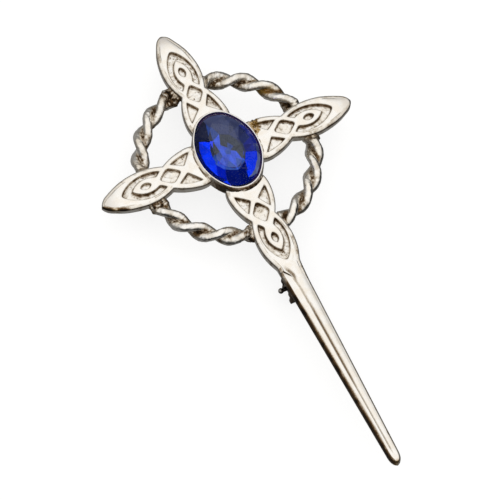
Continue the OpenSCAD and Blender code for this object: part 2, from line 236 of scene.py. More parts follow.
@dataclass
class Shell:
    """Collects grids of points into one closed mesh.

    Attributes:
        name: Name of the piece.
        layers: Names of the per-vertex values that its finish reads.
        points: Points of each grid.
        faces: Quads of each grid, by the points' numbers in the whole mesh.
        caps: Flat faces over the grids' ends.
        values: Per-vertex values of each grid.
        count: Points so far.
    """

    name: str
    layers: tuple[str, ...] = ()
    points: list[Array] = field(default_factory=list)
    faces: list[Array] = field(default_factory=list)
    caps: list[Array] = field(default_factory=list)
    values: list[dict[str, Array]] = field(default_factory=list)
    count: int = 0

    def grid(
        self,
        points: Array,
        round_rows: bool = False,
        capped: bool = False,
        **values: float | Array,
    ) -> None:
        """Adds a grid of quads whose columns close, turned outwards by its volume's sign.

        Args:
            points: Rows by columns by 3, in millimetres.
            round_rows: Joins the last row to the first.
            capped: Closes the first and the last row with a flat face.
            **values: Per-vertex layers, rows by columns.
        """
        rows, columns = points.shape[:2]
        index = np.arange(rows * columns).reshape(rows, columns)
        steps = np.arange(rows if round_rows else rows - 1)
        a, b = np.meshgrid(steps, np.arange(columns), indexing="ij")
        c, d = (a + 1) % rows, (b + 1) % columns
        quads = np.stack([index[a, b], index[c, b], index[c, d], index[a, d]], -1)
        quads = quads.reshape(-1, 4)
        caps = [index[0], index[-1, ::-1]] if capped else []
        flat = points.reshape(-1, 3)
        p = flat[quads] - flat.mean(0)
        volume = np.einsum("ij,ij->i", p[:, 0], np.cross(p[:, 1], p[:, 2])).sum()
        volume += np.einsum("ij,ij->i", p[:, 0], np.cross(p[:, 2], p[:, 3])).sum()
        if volume < 0:
            quads = quads[:, ::-1]
            caps = [cap[::-1] for cap in caps]
        self.points.append(flat)
        self.faces.append(quads + self.count)
        self.caps += [cap + self.count for cap in caps]
        whole = {k: np.broadcast_to(v, (rows, columns)).ravel() for k, v in values.items()}
        self.values.append(whole)
        self.count += len(flat)

    def piece(self) -> bpy.types.Object:
        """Writes the mesh in metres.

        Returns:
            Its object, at the origin.
        """
        points = np.concatenate(self.points) * MM
        quads = np.concatenate(self.faces)
        loops = np.concatenate([quads.ravel(), *self.caps])
        totals = np.concatenate([np.full(len(quads), 4), [len(c) for c in self.caps]])
        starts = np.concatenate([[0], np.cumsum(totals)[:-1]])
        mesh = bpy.data.meshes.new(self.name)
        mesh.vertices.add(len(points))
        mesh.vertices.foreach_set("co", points.astype(np.float32).ravel())
        mesh.loops.add(len(loops))
        mesh.loops.foreach_set("vertex_index", loops.astype(np.int32))
        mesh.polygons.add(len(totals))
        mesh.polygons.foreach_set("loop_start", starts.astype(np.int32))
        mesh.polygons.foreach_set("use_smooth", np.full(len(totals), True))
        for layer in self.layers:
            column = [v.get(layer, np.zeros(len(p))) for v, p in zip(self.values, self.points)]
            made = mesh.attributes.new(layer, "FLOAT", "POINT")
            made.data.foreach_set("value", np.concatenate(column).astype(np.float32))
        mesh.update(calc_edges=True)
        mesh.validate()
        return add_object(self.name, mesh)


def finish_piece(
    obj: bpy.types.Object, body: Body, slot: Slot, node: str, *materials: bpy.types.Material
) -> None:
    """Dresses a new piece and ties it to the CAD part.

    Args:
        obj: The piece.
        body: Body that it rides on.
        slot: The record's slot of its material; not used.
        node: CAD node that it stands for.
        *materials: Its materials.
    """
    for material in materials:
        obj.data.materials.append(material)
    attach(obj, body.value)
    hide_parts(node)
    LOG.info("%s: %d faces on %s", obj.name, len(obj.data.polygons), body.value)


class NodeBook:
    """Short hand for building the node tree of a material or of the world."""

    def __init__(self, owner: bpy.types.Material | bpy.types.World) -> None:
        """Empties the owner's tree and adds its output.

        Args:
            owner: Material or world, new.
        """
        owner.use_nodes = True
        self.owner = owner
        self.tree = owner.node_tree
        self.tree.nodes.clear()
        kind = "World" if isinstance(owner, bpy.types.World) else "Material"
        self.output = self.tree.nodes.new("ShaderNodeOutput" + kind)

    def add(self, kind: str, **values: object) -> bpy.types.Node:
        """Adds a node.

        Args:
            kind: The node's type after "ShaderNode".
            **values: Node properties, or inputs by number as i0, i1 and so on, or by name
                with spaces as underscores. An input gets a socket to link from or a
                plain value.

        Returns:
            The node.
        """
        node = self.tree.nodes.new("ShaderNode" + kind)
        for key, value in values.items():
            if hasattr(node, key):
                setattr(node, key, value)
                continue
            numbered = key[0] == "i" and key[1:].isdigit()
            socket = node.inputs[int(key[1:]) if numbered else key.replace("_", " ")]
            if isinstance(value, Socket):
                self.tree.links.new(value, socket)
            else:
                socket.default_value = value
        return node

    def out(self, socket: Socket) -> None:
        """Links a shader to the output."""
        self.tree.links.new(socket, self.output.inputs[0])

    def layer(self, name: str, output: str = "Fac") -> Socket:
        """The mesh's layer of that name."""
        return self.add("Attribute", attribute_name=name).outputs[output]

    def place(self, scale: tuple[float, float, float] = (1000, 1000, 1000)) -> Socket:
        """Object coordinates times a scale, in millimetres unless told otherwise."""
        coordinates = self.add("TexCoord").outputs["Object"]
        return self.add("Mapping", Vector=coordinates, Scale=scale).outputs["Vector"]

    def cloud(self, place: Socket, scale: float, detail: float) -> Socket:
        """Noise of that scale and detail at the place."""
        return self.add("TexNoise", Vector=place, Scale=scale, Detail=detail).outputs["Fac"]

    def mix(self, share: object, first: object, second: object) -> Socket:
        """Colour that goes from first to second by share."""
        return self.add("MixRGB", i0=share, i1=first, i2=second).outputs[0]

    def calc(self, operation: str, *values: object) -> Socket:
        """One Math node."""
        inputs = {f"i{k}": v for k, v in enumerate(values)}
        return self.add("Math", operation=operation, use_clamp=False, **inputs).outputs[0]

    def span(self, value: Socket, low: float, high: float, a: float = 0, b: float = 1) -> Socket:
        """Maps low..high onto a..b, clamped."""
        return self.add("MapRange", i0=value, i1=low, i2=high, i3=a, i4=b).outputs[0]

    def shade(self, **inputs: object) -> None:
        """Links a Principled shader with these inputs to the output."""
        self.out(self.add("BsdfPrincipled", **inputs).outputs[0])

    def metal(self, tint: Socket, rough: Socket, height: Socket, *bumps: float) -> None:
        """Links a metal shader, with strength and distance of its bumps, to the output."""
        normal = self.add("Bump", Strength=bumps[0], Distance=bumps[1], Height=height).outputs[0]
        self.shade(Base_Color=tint, Metallic=1.0, Roughness=rough, Normal=normal)


@dataclass(frozen=True)
class PlateFinish:
    """Bright plate on cast metal with brown-black tarnish in the hollows; the same colours also
    paint shade.

    Attributes:
        bright: Colour of the clean plate.
        warm: Colour that clouds the plate in broad patches.
        greyed: Colour of the plate where it has gone dull.
        straw: Colour of a first breath of tarnish, and of the lightest painted shade.
        brown: Colour of thin tarnish, and of deeper painted shade.
        black: Colour of thick tarnish, and of the deepest painted shade.
        brass: Colour where the plate has worn through, also used for a painted gold highlight.
        stages: Amounts of tarnish and painted shade over which straw, brown and black take over.
        gloss: Roughness of the clean plate.
        grain_bump: Strength of the cast grain in the pockets.
        bumps: Strength and distance in metres of the finest relief.
    """

    bright: Colour = (0.94, 0.92, 0.885, 1)
    warm: Colour = (0.91, 0.86, 0.785, 1)
    greyed: Colour = (0.46, 0.42, 0.39, 1)
    straw: Colour = (0.62, 0.56, 0.47, 1)
    brown: Colour = (0.17, 0.1, 0.045, 1)
    black: Colour = (0.022, 0.015, 0.01, 1)
    brass: Colour = (0.36, 0.22, 0.055, 1)
    stages: Pairs = ((0.04, 0.3), (0.25, 0.55), (0.48, 0.9))
    gloss: float = 0.15
    grain_bump: float = 0.5
    bumps: tuple[float, float] = (0.35, 0.00012)

    def material(self, name: str) -> bpy.types.Material:
        """Builds the finish's material.

        Args:
            name: Name of the material.

        Returns:
            The material, which reads the layers hollow, grain, brass and dull.
        """
        book = NodeBook(bpy.data.materials.new(name))
        hollow, grain, brass, dull = (book.layer(n) for n in METAL_LAYERS)
        place = book.place()
        clouds = book.cloud(place, 0.55, 3.0)
        specks = book.cloud(place, 4.5, 4.0)
        fine = book.cloud(place, 14.0, 2.0)
        plate = book.mix(book.span(clouds, 0.42, 0.62), self.bright, self.warm)
        tint = book.mix(dull, plate, self.greyed)
        ragged = book.calc("MULTIPLY_ADD", specks, 0.5, -0.25)
        ragged = book.calc("MULTIPLY", ragged, book.span(hollow, 0, 0.3))
        amount = book.calc("ADD", hollow, ragged)
        # Tarnish and painted shade share one layer and darken the plate through these stages.
        for stage, colour in zip(self.stages, (self.straw, self.brown, self.black)):
            tint = book.mix(book.span(amount, *stage), tint, colour)
        bare = book.calc("MULTIPLY", brass, book.span(specks, 0.35, 0.55, 0.4, 1))
        tint = book.mix(bare, tint, self.brass)
        rough = book.span(fine, 0.3, 0.7, self.gloss - 0.03, self.gloss + 0.05)
        rough = book.calc("ADD", rough, book.span(amount, 0.1, 0.7, 0, 0.3))
        rough = book.calc("ADD", rough, book.calc("MULTIPLY", grain, 0.16))
        height = book.calc("MULTIPLY", specks, book.span(grain, 0, 1, 0.03, self.grain_bump))
        height = book.calc("ADD", height, book.calc("MULTIPLY", fine, 0.02))
        book.metal(tint, rough, height, *self.bumps)
        return book.owner


@dataclass(frozen=True)
class WireFinish:
    """Drawn or turned metal with fine lines along one direction and light tarnish.

    Attributes:
        bright: Colour of the clean metal.
        dull: Colour of the tarnish.
        gloss: Roughness between the lines.
        stretch: How the lines' noise is squeezed in x, y and z.
        bumps: Strength and distance in metres of the lines' relief.
    """

    bright: Colour = (0.62, 0.61, 0.6, 1)
    dull: Colour = (0.2, 0.16, 0.12, 1)
    gloss: float = 0.24
    stretch: tuple[float, float, float] = (9000, 250, 9000)
    bumps: tuple[float, float] = (0.25, 0.00004)

    def material(self, name: str) -> bpy.types.Material:
        """Builds the finish's material.

        Args:
            name: Name of the material.

        Returns:
            The material, which reads the layer hollow.
        """
        book = NodeBook(bpy.data.materials.new(name))
        lines = book.cloud(book.place(self.stretch), 1.0, 3.0)
        clouds = book.cloud(book.place(), 1.3, 4.0)
        amount = book.calc("ADD", book.layer("hollow"), book.span(clouds, 0.5, 0.75, 0, 0.5))
        tint = book.mix(book.span(amount, 0, 1), self.bright, self.dull)
        rough = book.span(lines, 0.3, 0.7, self.gloss - 0.06, self.gloss + 0.1)
        book.metal(tint, rough, lines, *self.bumps)
        return book.owner


class Tone(Enum):
    """Painted glow colours of the foil, from the darkest facets to the brightest."""

    NIGHT = (0.007, 0.01, 0.035)
    PLUM = (0.02, 0.007, 0.045)
    SLATE = (0.034, 0.044, 0.068)
    INK = (0.009, 0.018, 0.095)
    NAVY = (0.0009, 0.006, 0.14)
    ROYAL = (0.01, 0.018, 0.2)
    DEEP = (0.0006, 0.011, 0.46)
    VIVID = (0.003, 0.038, 0.92)
    HAZE = (0.042, 0.056, 0.14)
    MIST = (0.03, 0.075, 0.32)
    PALE = (0.038, 0.095, 0.62)
    LILAC = (0.13, 0.165, 0.33)


NIGHT, PLUM, SLATE, INK, NAVY, ROYAL, DEEP, VIVID, HAZE, MIST, PALE, LILAC = Tone
ToneTable = tuple[tuple[float, Tone], ...]


@dataclass(frozen=True)
class GlassFinish:
    """Cut glass with a blue foil behind its lower facets; the foil glows with painted light.

    Attributes:
        clear: Colour of the glass itself.
        cloudy: Share of that colour where the glass is darkest.
        index: Refractive index.
        foil_gloss: Roughness of the foil.
        foil_shade: Tint of the foil's darker mottles.
    """

    clear: Colour = (0.93, 0.95, 1.0, 1)
    cloudy: float = 0.9
    index: float = 1.5
    foil_gloss: float = 0.2
    foil_shade: Colour = (0.35, 0.35, 0.5, 1)

    def crown(self, name: str) -> bpy.types.Material:
        """Clear glass whose facets shine by their own layer, with a few faint scratches.

        Args:
            name: Name of the material.

        Returns:
            The material, which reads the layer shine.
        """
        book = NodeBook(bpy.data.materials.new(name))
        place = book.place()
        clouds = book.span(book.cloud(place, 0.3, 2.0), 0.3, 0.7)
        darker = tuple(self.cloudy * c for c in self.clear[:3]) + (1,)
        book.shade(
            Base_Color=book.mix(clouds, self.clear, darker),
            Roughness=book.span(book.cloud(place, 6.0, 3.0), 0.5, 0.8, 0.0, 0.03),
            IOR=self.index,
            Specular_Tint=book.mix(book.layer("shine"), (0, 0, 0, 1), (1, 1, 1, 1)),
            Transmission_Weight=1.0,
        )
        return book.owner

    def foil(self, name: str) -> bpy.types.Material:
        """Foil that glows blue facet by facet: painted light for the foil's reflections.

        Args:
            name: Name of the material.

        Returns:
            The material, which reads the colour layer glow.
        """
        book = NodeBook(bpy.data.materials.new(name))
        glow = book.layer("glow", "Color")
        share = book.span(book.cloud(book.place(), 0.9, 3.0), 0.4, 0.65, 0.35, 0.0)
        dim = book.add("MixRGB", blend_type="MULTIPLY", i0=share, i1=glow, i2=self.foil_shade)
        # Painted light: the foil glows with its facet's colour though it is no lamp.
        book.shade(
            Base_Color=book.mix(0.97, dim.outputs[0], (0, 0, 0, 1)),
            Roughness=self.foil_gloss,
            Specular_IOR_Level=0.0,
            Emission_Color=dim.outputs[0],
            Emission_Strength=1.0,
        )
        return book.owner


@dataclass(frozen=True)
class Oval:
    """The stone's outline: four arcs, two round the ends and two along the sides.

    Attributes:
        length: Along the pin.
        width: Across the pin.
        end_share: Radius of the end arcs as a share of the width.
    """

    length: float = 18.0
    width: float = 13.0
    end_share: float = 0.377

    def point(self, a: Array, grow: float | Array = 0.0) -> Array:
        """Point of the oval whose outward normal has angle a, moved out by grow.

        Args:
            a: Angles of the normal in radians.
            grow: Distance outwards.

        Returns:
            x and y in millimetres from the stone's middle.
        """
        end_r = self.width * self.end_share
        end_at = self.length / 2 - end_r
        slim = self.width / 2 - end_r
        side_at = (end_at**2 - slim**2) / (2 * slim)
        turn = math.atan2(end_at, side_at)
        on_side = np.abs(np.sin(a)) < math.sin(turn)
        cx = np.where(on_side, -side_at * np.sign(np.cos(a)), 0.0)
        cy = np.where(on_side, 0.0, end_at * np.sign(np.sin(a)))
        r = np.where(on_side, side_at + self.width / 2, end_r) + grow
        return np.stack([cx + r * np.cos(a), cy + r * np.sin(a)], -1)

    def toward(self, t: Array) -> Array:
        """Points of the oval in given directions, read off a close sampling of it.

        Args:
            t: Directions in radians.

        Returns:
            x and y in millimetres from the stone's middle.
        """
        fine = self.point(np.linspace(-math.pi, math.pi, 7201))
        direction = np.unwrap(np.arctan2(fine[:, 1], fine[:, 0]))
        wrapped = (t - direction[0]) % TAU + direction[0]
        return np.stack([np.interp(wrapped, direction, fine[:, k]) for k in (0, 1)], -1)

    def reach(self, t: Array) -> Array:
        """Distance of the oval from its middle in the directions t."""
        rim = self.toward(t)
        return np.hypot(rim[..., 0], rim[..., 1])


@dataclass
class Leaf:
    """One knotwork arm: a pointed leaf whose waist opens towards the stone.

    Its points are given by v across the arm and u from the stone's middle outwards.

    Attributes:
        name: Name of the piece.
        turn: Degrees from +Y, counter-clockwise.
        reach: Middle of the stone to the leaf's tip.
        start: Where the arm begins, hidden inside the setting.
        seed: Seed of its cast grain.
        leaf_l: Waist to tip.
        leaf_half: Half width of the leaf.
        waist_half: Half width of the waist.
        flare_half: Half width of the flare, where it is widest.
        flare_run: From there to the waist.
        crown: Fall of the face from its ridge to the leaf's edge.
        tip_fall: Fall of the ridge towards the tip.
        fall_run: Length of that fall.
        edge_in: How far the rounded edge reaches in.
        edge_down: How far it reaches down.
        tip_fill: How far the outline is filled out towards the tip.
        tip_run: Length of the rounded tip.
        tip_dome: Extra roundness of the face near the tip.
        tip_droop: Extra fall of the face at the tip.
        droop_run: Length of that fall.
        pocket_d: Depth of the pockets.
        border: Width of the leaf's border.
        strand: Width of the knot's strands.
        crescent_w: Width of the crescent pocket.
        tip_plain: Plain metal beyond the crescent.
        eye_half_l: Half length of the eye pocket.
        diamond_w: Width of the diamond pocket.
        diamond_l: Length of the diamond pocket.
        diamond_in: From the waist inwards to the middle of the strands' diamond.
        diamond_shift: How much further in the pocket lies.
        diamond_corner: How far the pocket's corners are cut.
        wedge_in: From the waist inwards to the foot of the wedge pockets.
        wedge_out: Their outer corner at the foot, from the arm's middle.
        wedge_nose: Their inner corner, from the arm's middle and from the foot.
        wedge_end: Their far corner, from the arm's middle.
        wedge_l: Their length.
        wall: Run of the pockets' walls.
        worn: Place across and along and size of each patch that is worn to the brass.
        tip_dull: How dull the plate is at the tip.
        painted_edge_line: Strength of a painted shade line below the left edge with a painted gold
            highlight in it.
        soil_and_shade: Strength of the pockets' tarnish and painted shade.
        root_gap: From the stone's outline to the arm's first row.
        root_run: Length over which the rows bend to the outline.
        top_columns: Points across the face.
        step: Spacing of the sections.
    """

    name: str
    turn: float
    reach: float
    start: float
    seed: int
    leaf_l: float = 15.2
    leaf_half: float = 4.0
    waist_half: float = 2.8
    flare_half: float = 4.8
    flare_run: float = 7.0
    crown: float = 0.45
    tip_fall: float = 0.6
    fall_run: float = 19.2
    edge_in: float = 0.78
    edge_down: float = 0.42
    tip_fill: float = 0.5
    tip_run: float = 1.6
    tip_dome: float = 0.085
    tip_droop: float = 0.42
    droop_run: float = 4.2
    pocket_d: float = 0.75
    border: float = 1.2
    strand: float = 1.0
    crescent_w: float = 1.05
    tip_plain: float = 4.2
    eye_half_l: float = 1.3
    diamond_w: float = 4.0
    diamond_l: float = 5.1
    diamond_in: float = 0.4
    diamond_shift: float = 0.1
    diamond_corner: float = 0.28
    wedge_in: float = 6.1
    wedge_out: float = 3.3
    wedge_nose: tuple[float, float] = (0.95, 2.05)
    wedge_end: float = 2.4
    wedge_l: float = 4.35
    wall: float = 0.3
    worn: tuple[tuple[float, float, float], ...] = ()
    tip_dull: float = 0.4
    painted_edge_line: float = 0.0
    soil_and_shade: float = 1.0
    root_gap: float = 0.3
    root_run: float = 5.0
    top_columns: int = 112
    step: float = 0.078

    @property
    def waist(self) -> float:
        """Distance of the waist from the stone's middle."""
        return self.reach - self.leaf_l

    @property
    def leaf_a(self) -> float:
        """Half length of the pointed oval that passes through the waist and the tip."""
        neck = 1 - self.waist_half / self.leaf_half
        cut = self.leaf_half - self.waist_half
        run = self.leaf_l**2 - self.leaf_half * cut + cut**2
        return (self.leaf_l - math.sqrt(self.leaf_l**2 - (1 - neck) * run)) / (1 - neck)

    @property
    def end(self) -> float:
        """Distance of the piece's tip from the stone's middle."""
        return self.reach

    def half_width(self, u: Array) -> Array:
        """Half width of the arm: the wider of leaf and flare, with a rounded tip.

        Args:
            u: Distances from the stone's middle.

        Returns:
            Half widths.
        """
        tip = self.reach
        fill = self.tip_fill * (ease(tip - 8, tip - 3, u) + 0.8 * ease(tip - 3, tip, u))
        leaf = lens_half(u - tip + self.leaf_a - fill, self.leaf_a, self.leaf_half)
        r = arc_radius(self.flare_run, self.flare_half - self.waist_half)
        flare_a = math.sqrt(r**2 - (r - self.flare_half) ** 2)
        flare = lens_half(u - self.waist + self.flare_run, flare_a, self.flare_half)
        leaf = np.where(u > self.waist - 2, leaf, 0)
        flare = np.where(u < self.waist + 2, flare, 0)
        near = np.clip((u - tip + self.tip_run) / self.tip_run, 0, 1)
        return soft_max(leaf, flare, 0.1) * np.sqrt(1 - near**3)

    def face(self, v: Array, u: Array) -> Array:
        """Height of the plain face: a patch of a torus, domed and bent down at the tip.

        Args:
            v: Across the arm.
            u: From the stone's middle outwards.

        Returns:
            Heights.
        """
        fall_r = arc_radius(self.fall_run, self.tip_fall)
        tube = arc_radius(self.leaf_half, self.crown)
        ring = fall_r - tube + np.sqrt(tube**2 - v**2)
        dome = self.tip_dome * v**2 * ease(self.reach - 6, self.reach - 2, u)
        droop = np.clip((u - self.reach + self.droop_run) / self.droop_run, 0, 1) ** 2
        lower = dome + self.tip_droop * droop
        return FACE_Z - lower - fall_r + np.sqrt(ring**2 - (u - self.reach + self.fall_run) ** 2)

    def pocket_field(self, v: Array, u: Array) -> Array:
        """Distance outside the nearest pocket, negative inside one.

        The crescent is a pointed oval less a smaller one (the loop) and the V of the two
        crossing strands; the eye is a pointed oval; the diamond is four lines with its
        corners cut; each wedge beside the stone is two lines and the arm's border.

        Args:
            v: Across the arm.
            u: From the stone's middle outwards.

        Returns:
            Signed distance.
        """
        across = np.abs(v)
        half = self.leaf_half - self.border
        long = (self.leaf_l - self.tip_plain) * 0.58
        outer = lens_field(v, u - self.reach + self.tip_plain + long, long, half, 0.55)
        loop_a, loop_half = long * 0.57, half - self.crescent_w
        loop_at = self.reach - (self.tip_plain + long * 0.4 + loop_a)
        loop = lens_field(v, u - loop_at, loop_a, loop_half)
        side = math.atan2(self.diamond_w, self.diamond_l)
        apex = self.waist - self.diamond_in + self.diamond_l / 2 + self.strand / math.sin(side)
        strands = across * math.cos(side) - (apex - u) * math.sin(side)
        crescent = round_max(outer, soft_max(-loop, -strands, 0.3), 0.22)

        eye = lens_field(v, u - loop_at - loop_a * 0.1, self.eye_half_l, loop_half - self.strand)

        half_w, half_l = self.diamond_w / 2, self.diamond_l / 2
        along = np.abs(u - self.waist + self.diamond_in + self.diamond_shift)
        lines = (across * half_l + along * half_w - half_l * half_w) / math.hypot(half_l, half_w)
        corner = self.diamond_corner
        cut = round_max(across - half_w + corner, along - half_l + corner, 0.1)
        diamond = round_max(lines, cut, 0.16)

        foot = self.waist - self.wedge_in
        nose_v, nose_u = self.wedge_nose
        corners = [
            (self.wedge_out, foot), (nose_v, foot + nose_u), (self.wedge_end, foot + self.wedge_l),
        ]
        wedge = across - self.half_width(u) + self.border
        for (x0, y0), (x1, y1) in zip(corners, corners[1:]):
            length = math.hypot(x1 - x0, y1 - y0)
            line = ((across - x0) * (y0 - y1) + (u - y0) * (x1 - x0)) / length
            wedge = round_max(wedge, line, 0.16)
        pockets = (crescent - 0.04, eye, diamond - 0.06, wedge - 0.12)
        return np.minimum.reduce(pockets)

    def relief(self, v: Array, u: Array) -> tuple[Array, Array, Array]:
        """Depth, tarnish with painted shade, and grain of the pockets.

        The wall falls by a smooth step over a short run and the floor is grainy with
        pits. Tarnish is thickest on the wall and fades over the floor beside it. A
        painted shade darkens the face in a rim round each pocket, and a painted shadow
        lies on the floor before the walls on the shaded side.

        Args:
            v: Across the arm.
            u: From the stone's middle outwards.

        Returns:
            Depth in millimetres, tarnish with painted shade, and grain from 0 to 1.
        """
        d = self.pocket_field(v, u)
        inside, outside = -d, np.maximum(d, 0)
        sunk = ease(-0.04, self.wall, inside)
        place = np.stack([v, u, np.full(np.shape(v), self.turn)], -1)
        rough = layered_noise(place, 0.62, self.seed)
        blotch = noise(place, 0.4, self.seed + 11)
        pits = ease(0.45, 0.85, noise(place, 0.46, self.seed + 9)) * ease(0.28, 0.46, inside)
        shoulder = 0.075 * np.exp(-outside / 0.2)
        floor = 0.07 * rough * ease(0.1, 0.45, inside) + 0.14 * pits
        depth = self.pocket_d * sunk + shoulder + sunk * floor
        wall = 4 * sunk * (1 - sunk)
        beside = ease(self.wall + 0.4, self.wall, inside) * ease(0.0, self.wall, inside)
        hollow = (0.27 + 0.08 * rough) * wall + (0.1 + 0.12 * rough) * beside
        hollow += 0.26 * pits * sunk
        # Painted shade: a dark rim on the face round each pocket.
        hollow += (0.14 + 0.05 * rough) * np.exp(-outside / 0.24) * (1 - sunk)
        # Painted shadow: the floor darkens just before the walls that lie towards SHADE_SIDE.
        to_v, to_u = self.local(*SHADE_SIDE)
        ahead = self.pocket_field(v + SHADE_RUN * to_v, u + SHADE_RUN * to_u)
        hollow += 0.2 * ease(-0.12, 0.16, ahead) * ease(0.0, 0.2, inside)
        spots = 0.15 * ease(0.1, 0.8, blotch) * ease(0.1, 0.4, inside)
        hollow += sunk * (spots + 0.2 * np.clip(layered_noise(place, 1.5, self.seed + 3), 0, 1))
        return depth, np.clip(self.soil_and_shade * hollow, 0, 1), sunk

    def edge_size(self, u: Array) -> tuple[Array, Array]:
        """How far the rounded edge reaches in and down at u."""
        return np.full(np.shape(u), self.edge_in), np.full(np.shape(u), self.edge_down)

    def stations(self) -> Array:
        """Distances along the arm at which its section is worked out."""
        main = np.arange(self.start, self.reach - 1.2, self.step)
        return np.concatenate([main[:-1], crowded(main[-1], self.reach - TIP_STOP, 22)])

    def grit(self, v: Array, u: Array, size: float, seed: int) -> Array:
        """Layered noise of that size over the arm, with a seed added to the arm's own."""
        return layered_noise(np.stack([v, u, 0 * v], -1), size, self.seed + seed)

    def top(self, v: Array, u: Array) -> tuple[Array, Array, Array, Array]:
        """The face with its pockets, a worn line along the border and the seam at the stone.

        Args:
            v: Across the arm.
            u: From the stone's middle outwards.

        Returns:
            Height, tarnish with painted shade, grain and brass.
        """
        depth, hollow, grain = self.relief(v, u)
        inward = self.half_width(u) - np.abs(v)
        beyond_waist = ease(self.waist + 1, self.waist + 3, u)
        line = bump(inward, 0.8, 0.08) * beyond_waist * ease(-0.7, 0.3, self.grit(v, u, 2.4, 15))
        seam = bump(self.beyond(v, u), 0.62, 0.14) * ease(-0.7, 0.4, self.grit(v, u, 0.7, 13))
        brass, bite = self.wear(v, u)
        z = self.face(v, u) - depth - 0.07 * line - 0.42 * bite - 0.08 * seam
        hollow = np.clip(hollow + 0.3 * line + 0.5 * seam + 0.7 * bite, 0, 1)
        return z, hollow, np.maximum(grain, brass), brass

    def wear(self, v: Array, u: Array) -> tuple[Array, Array]:
        """Where the plate is worn off, in patches with a ragged edge.

        Args:
            v: Across the arm.
            u: From the stone's middle outwards.

        Returns:
            The brass that shows and the bites in it.
        """
        brass = np.zeros(np.shape(v))
        for across, along, size in self.worn:
            apart = np.hypot(v - across, u - along) / size
            ragged = apart + 0.35 * self.grit(v, u, 0.9, 21)
            brass = np.maximum(brass, ease(1.15, 0.85, ragged))
        return brass, brass * ease(0.05, 0.45, self.grit(v, u, 0.55, 23))

    def beyond(self, v: Array, u: Array) -> Array:
        """Distance of a place on the arm beyond the stone's outline."""
        x, y, _ = np.moveaxis(self.world(v, u, 0 * v), -1, 0)
        y = y - MIDDLE_Y
        return np.hypot(x, y) - Oval().reach(np.arctan2(y, x))

    def fit(self, v: Array, u: Array) -> Array:
        """Bends the arm's first rows so that its end follows the stone's outline.

        Over the first root_run the place along the arm goes from the outline, grown by
        root_gap, to u itself: limit (1 - s) + (start + root_run) s.

        Args:
            v: Across the arm.
            u: Distances of the rows.

        Returns:
            Places along the arm, with the shape of v.
        """
        rim = Oval().point(np.linspace(-math.pi, math.pi, 1441), self.root_gap)
        across, along = self.local(rim[:, 0], rim[:, 1])
        ahead = along > 0
        order = np.argsort(across[ahead])
        limit = np.interp(v, across[ahead][order], along[ahead][order])
        s = np.clip((u[:, None] - self.start) / self.root_run, 0, 1)
        bent = limit * (1 - s) + (self.start + self.root_run) * s
        return np.where(s < 1, bent, u[:, None])

    def sides(
        self, half: Array, edge_in: Array, edge_down: Array, z: Array
    ) -> tuple[Array, Array, Array]:
        """Section loop beyond the face: right side, back and left side.

        A side is a quarter ellipse for the edge, a straight wall and a quarter circle
        for the foot.

        Args:
            half: Half width of each section.
            edge_in: How far its edge reaches in.
            edge_down: How far its edge reaches down.
            z: Heights of the face.

        Returns:
            Places across the arm, heights, and distances below the rim of the face.
        """
        edge = np.linspace(0, math.pi / 2, 8)[1:]
        wall = np.linspace(0, 1, 7)[1:-1]
        foot = np.linspace(0, math.pi / 2, 4)
        half, edge_in, edge_down = half[:, None], edge_in[:, None], edge_down[:, None]
        foot_in = np.minimum(FOOT, half * 0.8)
        across = np.concatenate(
            [
                half - edge_in + edge_in * np.sin(edge),
                np.repeat(half, len(wall), 1),
                half - foot_in * (1 - np.cos(foot)),
            ],
            1,
        )
        heights = []
        for rim in (z[:, -1:], z[:, :1]):
            edge_z = rim - edge_down * (1 - np.cos(edge))
            wall_z = edge_z[:, -1:] + (BACK_Z + FOOT - edge_z[:, -1:]) * wall
            foot_z = np.broadcast_to(BACK_Z + FOOT - FOOT * np.sin(foot), (len(z), len(foot)))
            heights.append(np.concatenate([edge_z, wall_z, foot_z], 1))
        back = (half - foot_in) * np.linspace(1, -1, 11)[1:-1]
        v_side = np.concatenate([across, back, -across[:, ::-1]], 1)
        z_side = np.concatenate([heights[0], np.full(back.shape, BACK_Z), heights[1][:, ::-1]], 1)
        right, left = across.shape[1] + back.shape[1], across.shape[1]
        rims = np.concatenate([np.repeat(z[:, -1:], right, 1), np.repeat(z[:, :1], left, 1)], 1)
        return v_side, z_side, rims - z_side

    def side_dress(
        self, points: Array, v: Array, u: Array, below: Array, edge_down: Array
    ) -> tuple[Array, Array]:
        """Darkening and brass of the section loop beyond the face.

        Tarnish lies in clouds; the walls are darker towards their foot and just below the
        edge. The painted edge line is a painted shade below the left edge with a painted
        gold highlight in it.

        Args:
            points: Points of the surface.
            v: Across the arm.
            u: From the stone's middle outwards.
            below: Distances below the rim of the face.
            edge_down: How far the edge reaches down at each row.

        Returns:
            Darkening, and brass with the painted highlight in it.
        """
        skin = np.clip(0.25 * layered_noise(points, 1.1, self.seed + 7), 0, 0.3)
        skin = skin + 0.1 * ease(FACE_Z - 0.7, BACK_Z, points[..., 2]) + self.flank(points, u)
        skin = skin + 0.5 * bump(below, edge_down[:, None] + 0.08, 0.15)
        # Painted shade: a black line just below the left edge; painted highlight: a gold glint in
        # it, put in the brass layer.
        painted_edge_line = self.painted_edge_line * ease(23.6, 25.2, u) * (v < 0)
        glint = bump(u, 26.8, 0.5)
        skin = skin + painted_edge_line * bump(below, 0.24, 0.2) * (1 - glint)
        painted_glint = 0.8 * painted_edge_line * glint * bump(below, 0.2, 0.25)
        return skin, np.maximum(self.wear(v, u)[0], painted_glint)

